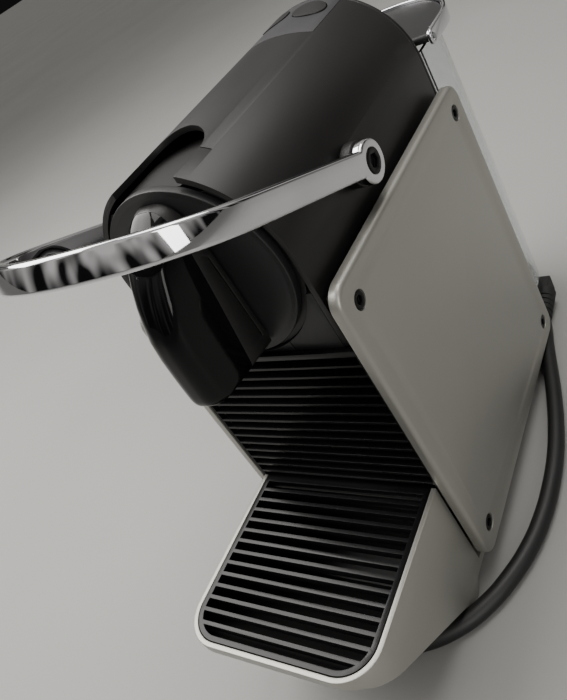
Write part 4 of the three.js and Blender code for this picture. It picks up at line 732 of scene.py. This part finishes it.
tray = tray_wedge("drip_tray_body", 0, tray_high.z)
round_edges(tray, 1.6, 3, lambda middle, way: middle.z < tray_high.z - 1.5 and abs(middle.x) < 48.9
            and middle.y < tray_high.y - 1 and abs(way.z) < 0.5 and abs(way.x) > 0.5)
combine(tray, tray_wedge("tray_core", TRAY_WALL, tray_high.z + 5))
combine(tray, block("rear_opening", (-46.7, 46.7), (tray_high.y - 3.3, tray_high.y + 1), (60.7, 70)))
soften(tray, 0.5, silver_paint, angle=30)
hand_over(tray, "drip_unit", "silver_panel", "drip_tray_shell")

grille_low, grille_high = (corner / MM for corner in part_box("drip_grille"))
GRILLE_INSET = 2.7
GRILLE_BORDER = 2.2
BAR_PITCH = 5.83
SLOT_WIDTH = 4.1
slot_end = grille_high.y - 3.6
grille = tray_plan("cup_grille", GRILLE_INSET, (grille_low.z, grille_high.z), grille_high.y)
slots = block("slots", (-60, 60), (slot_end - SLOT_WIDTH, slot_end), (50, 80))
modify(slots, "ARRAY", use_relative_offset=False, use_constant_offset=True,
       constant_offset_displace=(0, -BAR_PITCH * MM, 0), count=14)
combine(slots, tray_plan("slot_field", GRILLE_INSET + GRILLE_BORDER, (52, 78), slot_end + 1), "INTERSECT")
combine(grille, slots)
soften(grille, 0.75, satin_abs)
hand_over(grille, "grille", "black_plastic", "drip_grille")

# ---- Water tank, lid and carrying handle -----------------------------------------------------
# A clear moulded tank with a round back, a dark grey lid that lifts on a pin at its front edge,
# and a chrome-plated band round the lid that swings up as a handle.

# Clear copolyester: hard, glassy and very slightly grey.
clear_resin = finish_material("clear_copolyester", "F2F5F5", "ECF0F1", (0.03, 0.08), 20, 0.01, 60,
                              IOR=1.55, **{"Transmission Weight": 1.0})
tank_low, tank_high = (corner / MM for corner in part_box("water_tank"))
TANK_CORNER = 38
TANK_WALL = 2
tank = block("clear_tank", (tank_low.x, tank_high.x), (tank_low.y, tank_high.y), (tank_low.z, tank_high.z))
round_edges(tank, TANK_CORNER, 24, lambda middle, way: abs(way.z) > 0.9 and middle.y > tank_high.y - 1)
round_edges(tank, 4, 5, lambda middle, way: abs(way.z) > 0.9 and middle.y < tank_low.y + 1)
round_edges(tank, 2.5, 3, lambda middle, way: abs(way.z) < 0.1 and middle.z < tank_low.z + 1)
pick(tank, "FACE", lambda middle, way: way.z > 0.9)
bpy.ops.mesh.delete(type="FACE")
mode("OBJECT")
modify(tank, "SOLIDIFY", thickness=TANK_WALL * MM, offset=-1)
soften(tank, 0, clear_resin, shade=35)
hand_over(tank, "tank", "clear_tank", "water_tank")

lid_low, lid_high = (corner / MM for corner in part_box("tank_lid"))
LID_AXIS_Y = lid_low.y + (lid_high.z - lid_low.z) / 2
LID_AXIS_Z = (lid_low.z + lid_high.z) / 2
lid = block("lid_plate", (lid_low.x, lid_high.x), (LID_AXIS_Y, lid_high.y), (lid_low.z, lid_high.z))
round_edges(lid, TANK_CORNER + 2, 24, lambda middle, way: abs(way.z) > 0.9 and middle.y > lid_high.y - 1)
combine(lid, rod("lid_knuckle", "X", (lid_high.z - lid_low.z) / 2, (lid_low.x, lid_high.x),
                 (LID_AXIS_Y, LID_AXIS_Z)), "UNION")
combine(lid, rod("lid_bore", "X", 1.65, (-60, 60), (LID_AXIS_Y, LID_AXIS_Z), 24))
soften(lid, 0.8, grey_abs)
hand_over(lid, "lid", "grey_plastic", "tank_lid")

band_low, band_high = (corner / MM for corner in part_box("tank_handle"))
BAND_THICKNESS = 2.2
BAND_CORNER = TANK_CORNER + 2.5
band = block("chrome_band", (band_low.x, band_high.x), (band_low.y, band_high.y), (band_low.z, band_high.z))
round_edges(band, BAND_CORNER + BAND_THICKNESS, 28,
            lambda middle, way: abs(way.z) > 0.9 and middle.y > band_high.y - 1)
round_edges(band, 3.6, 6, lambda middle, way: abs(way.x) > 0.9 and middle.y < band_low.y + 1)
hollow = block("band_core", (-49, 49), (60, band_high.y - BAND_THICKNESS), (180, 220))
round_edges(hollow, BAND_CORNER, 28, lambda middle, way: abs(way.z) > 0.9 and middle.y > band_high.y - 4)
combine(band, hollow)
combine(band, rod("band_bore", "X", 1.8, (-60, 60), (LID_AXIS_Y, LID_AXIS_Z), 24))
soften(band, 0.6, chrome_plate)
hand_over(band, "carry_handle", "chrome", "tank_handle")
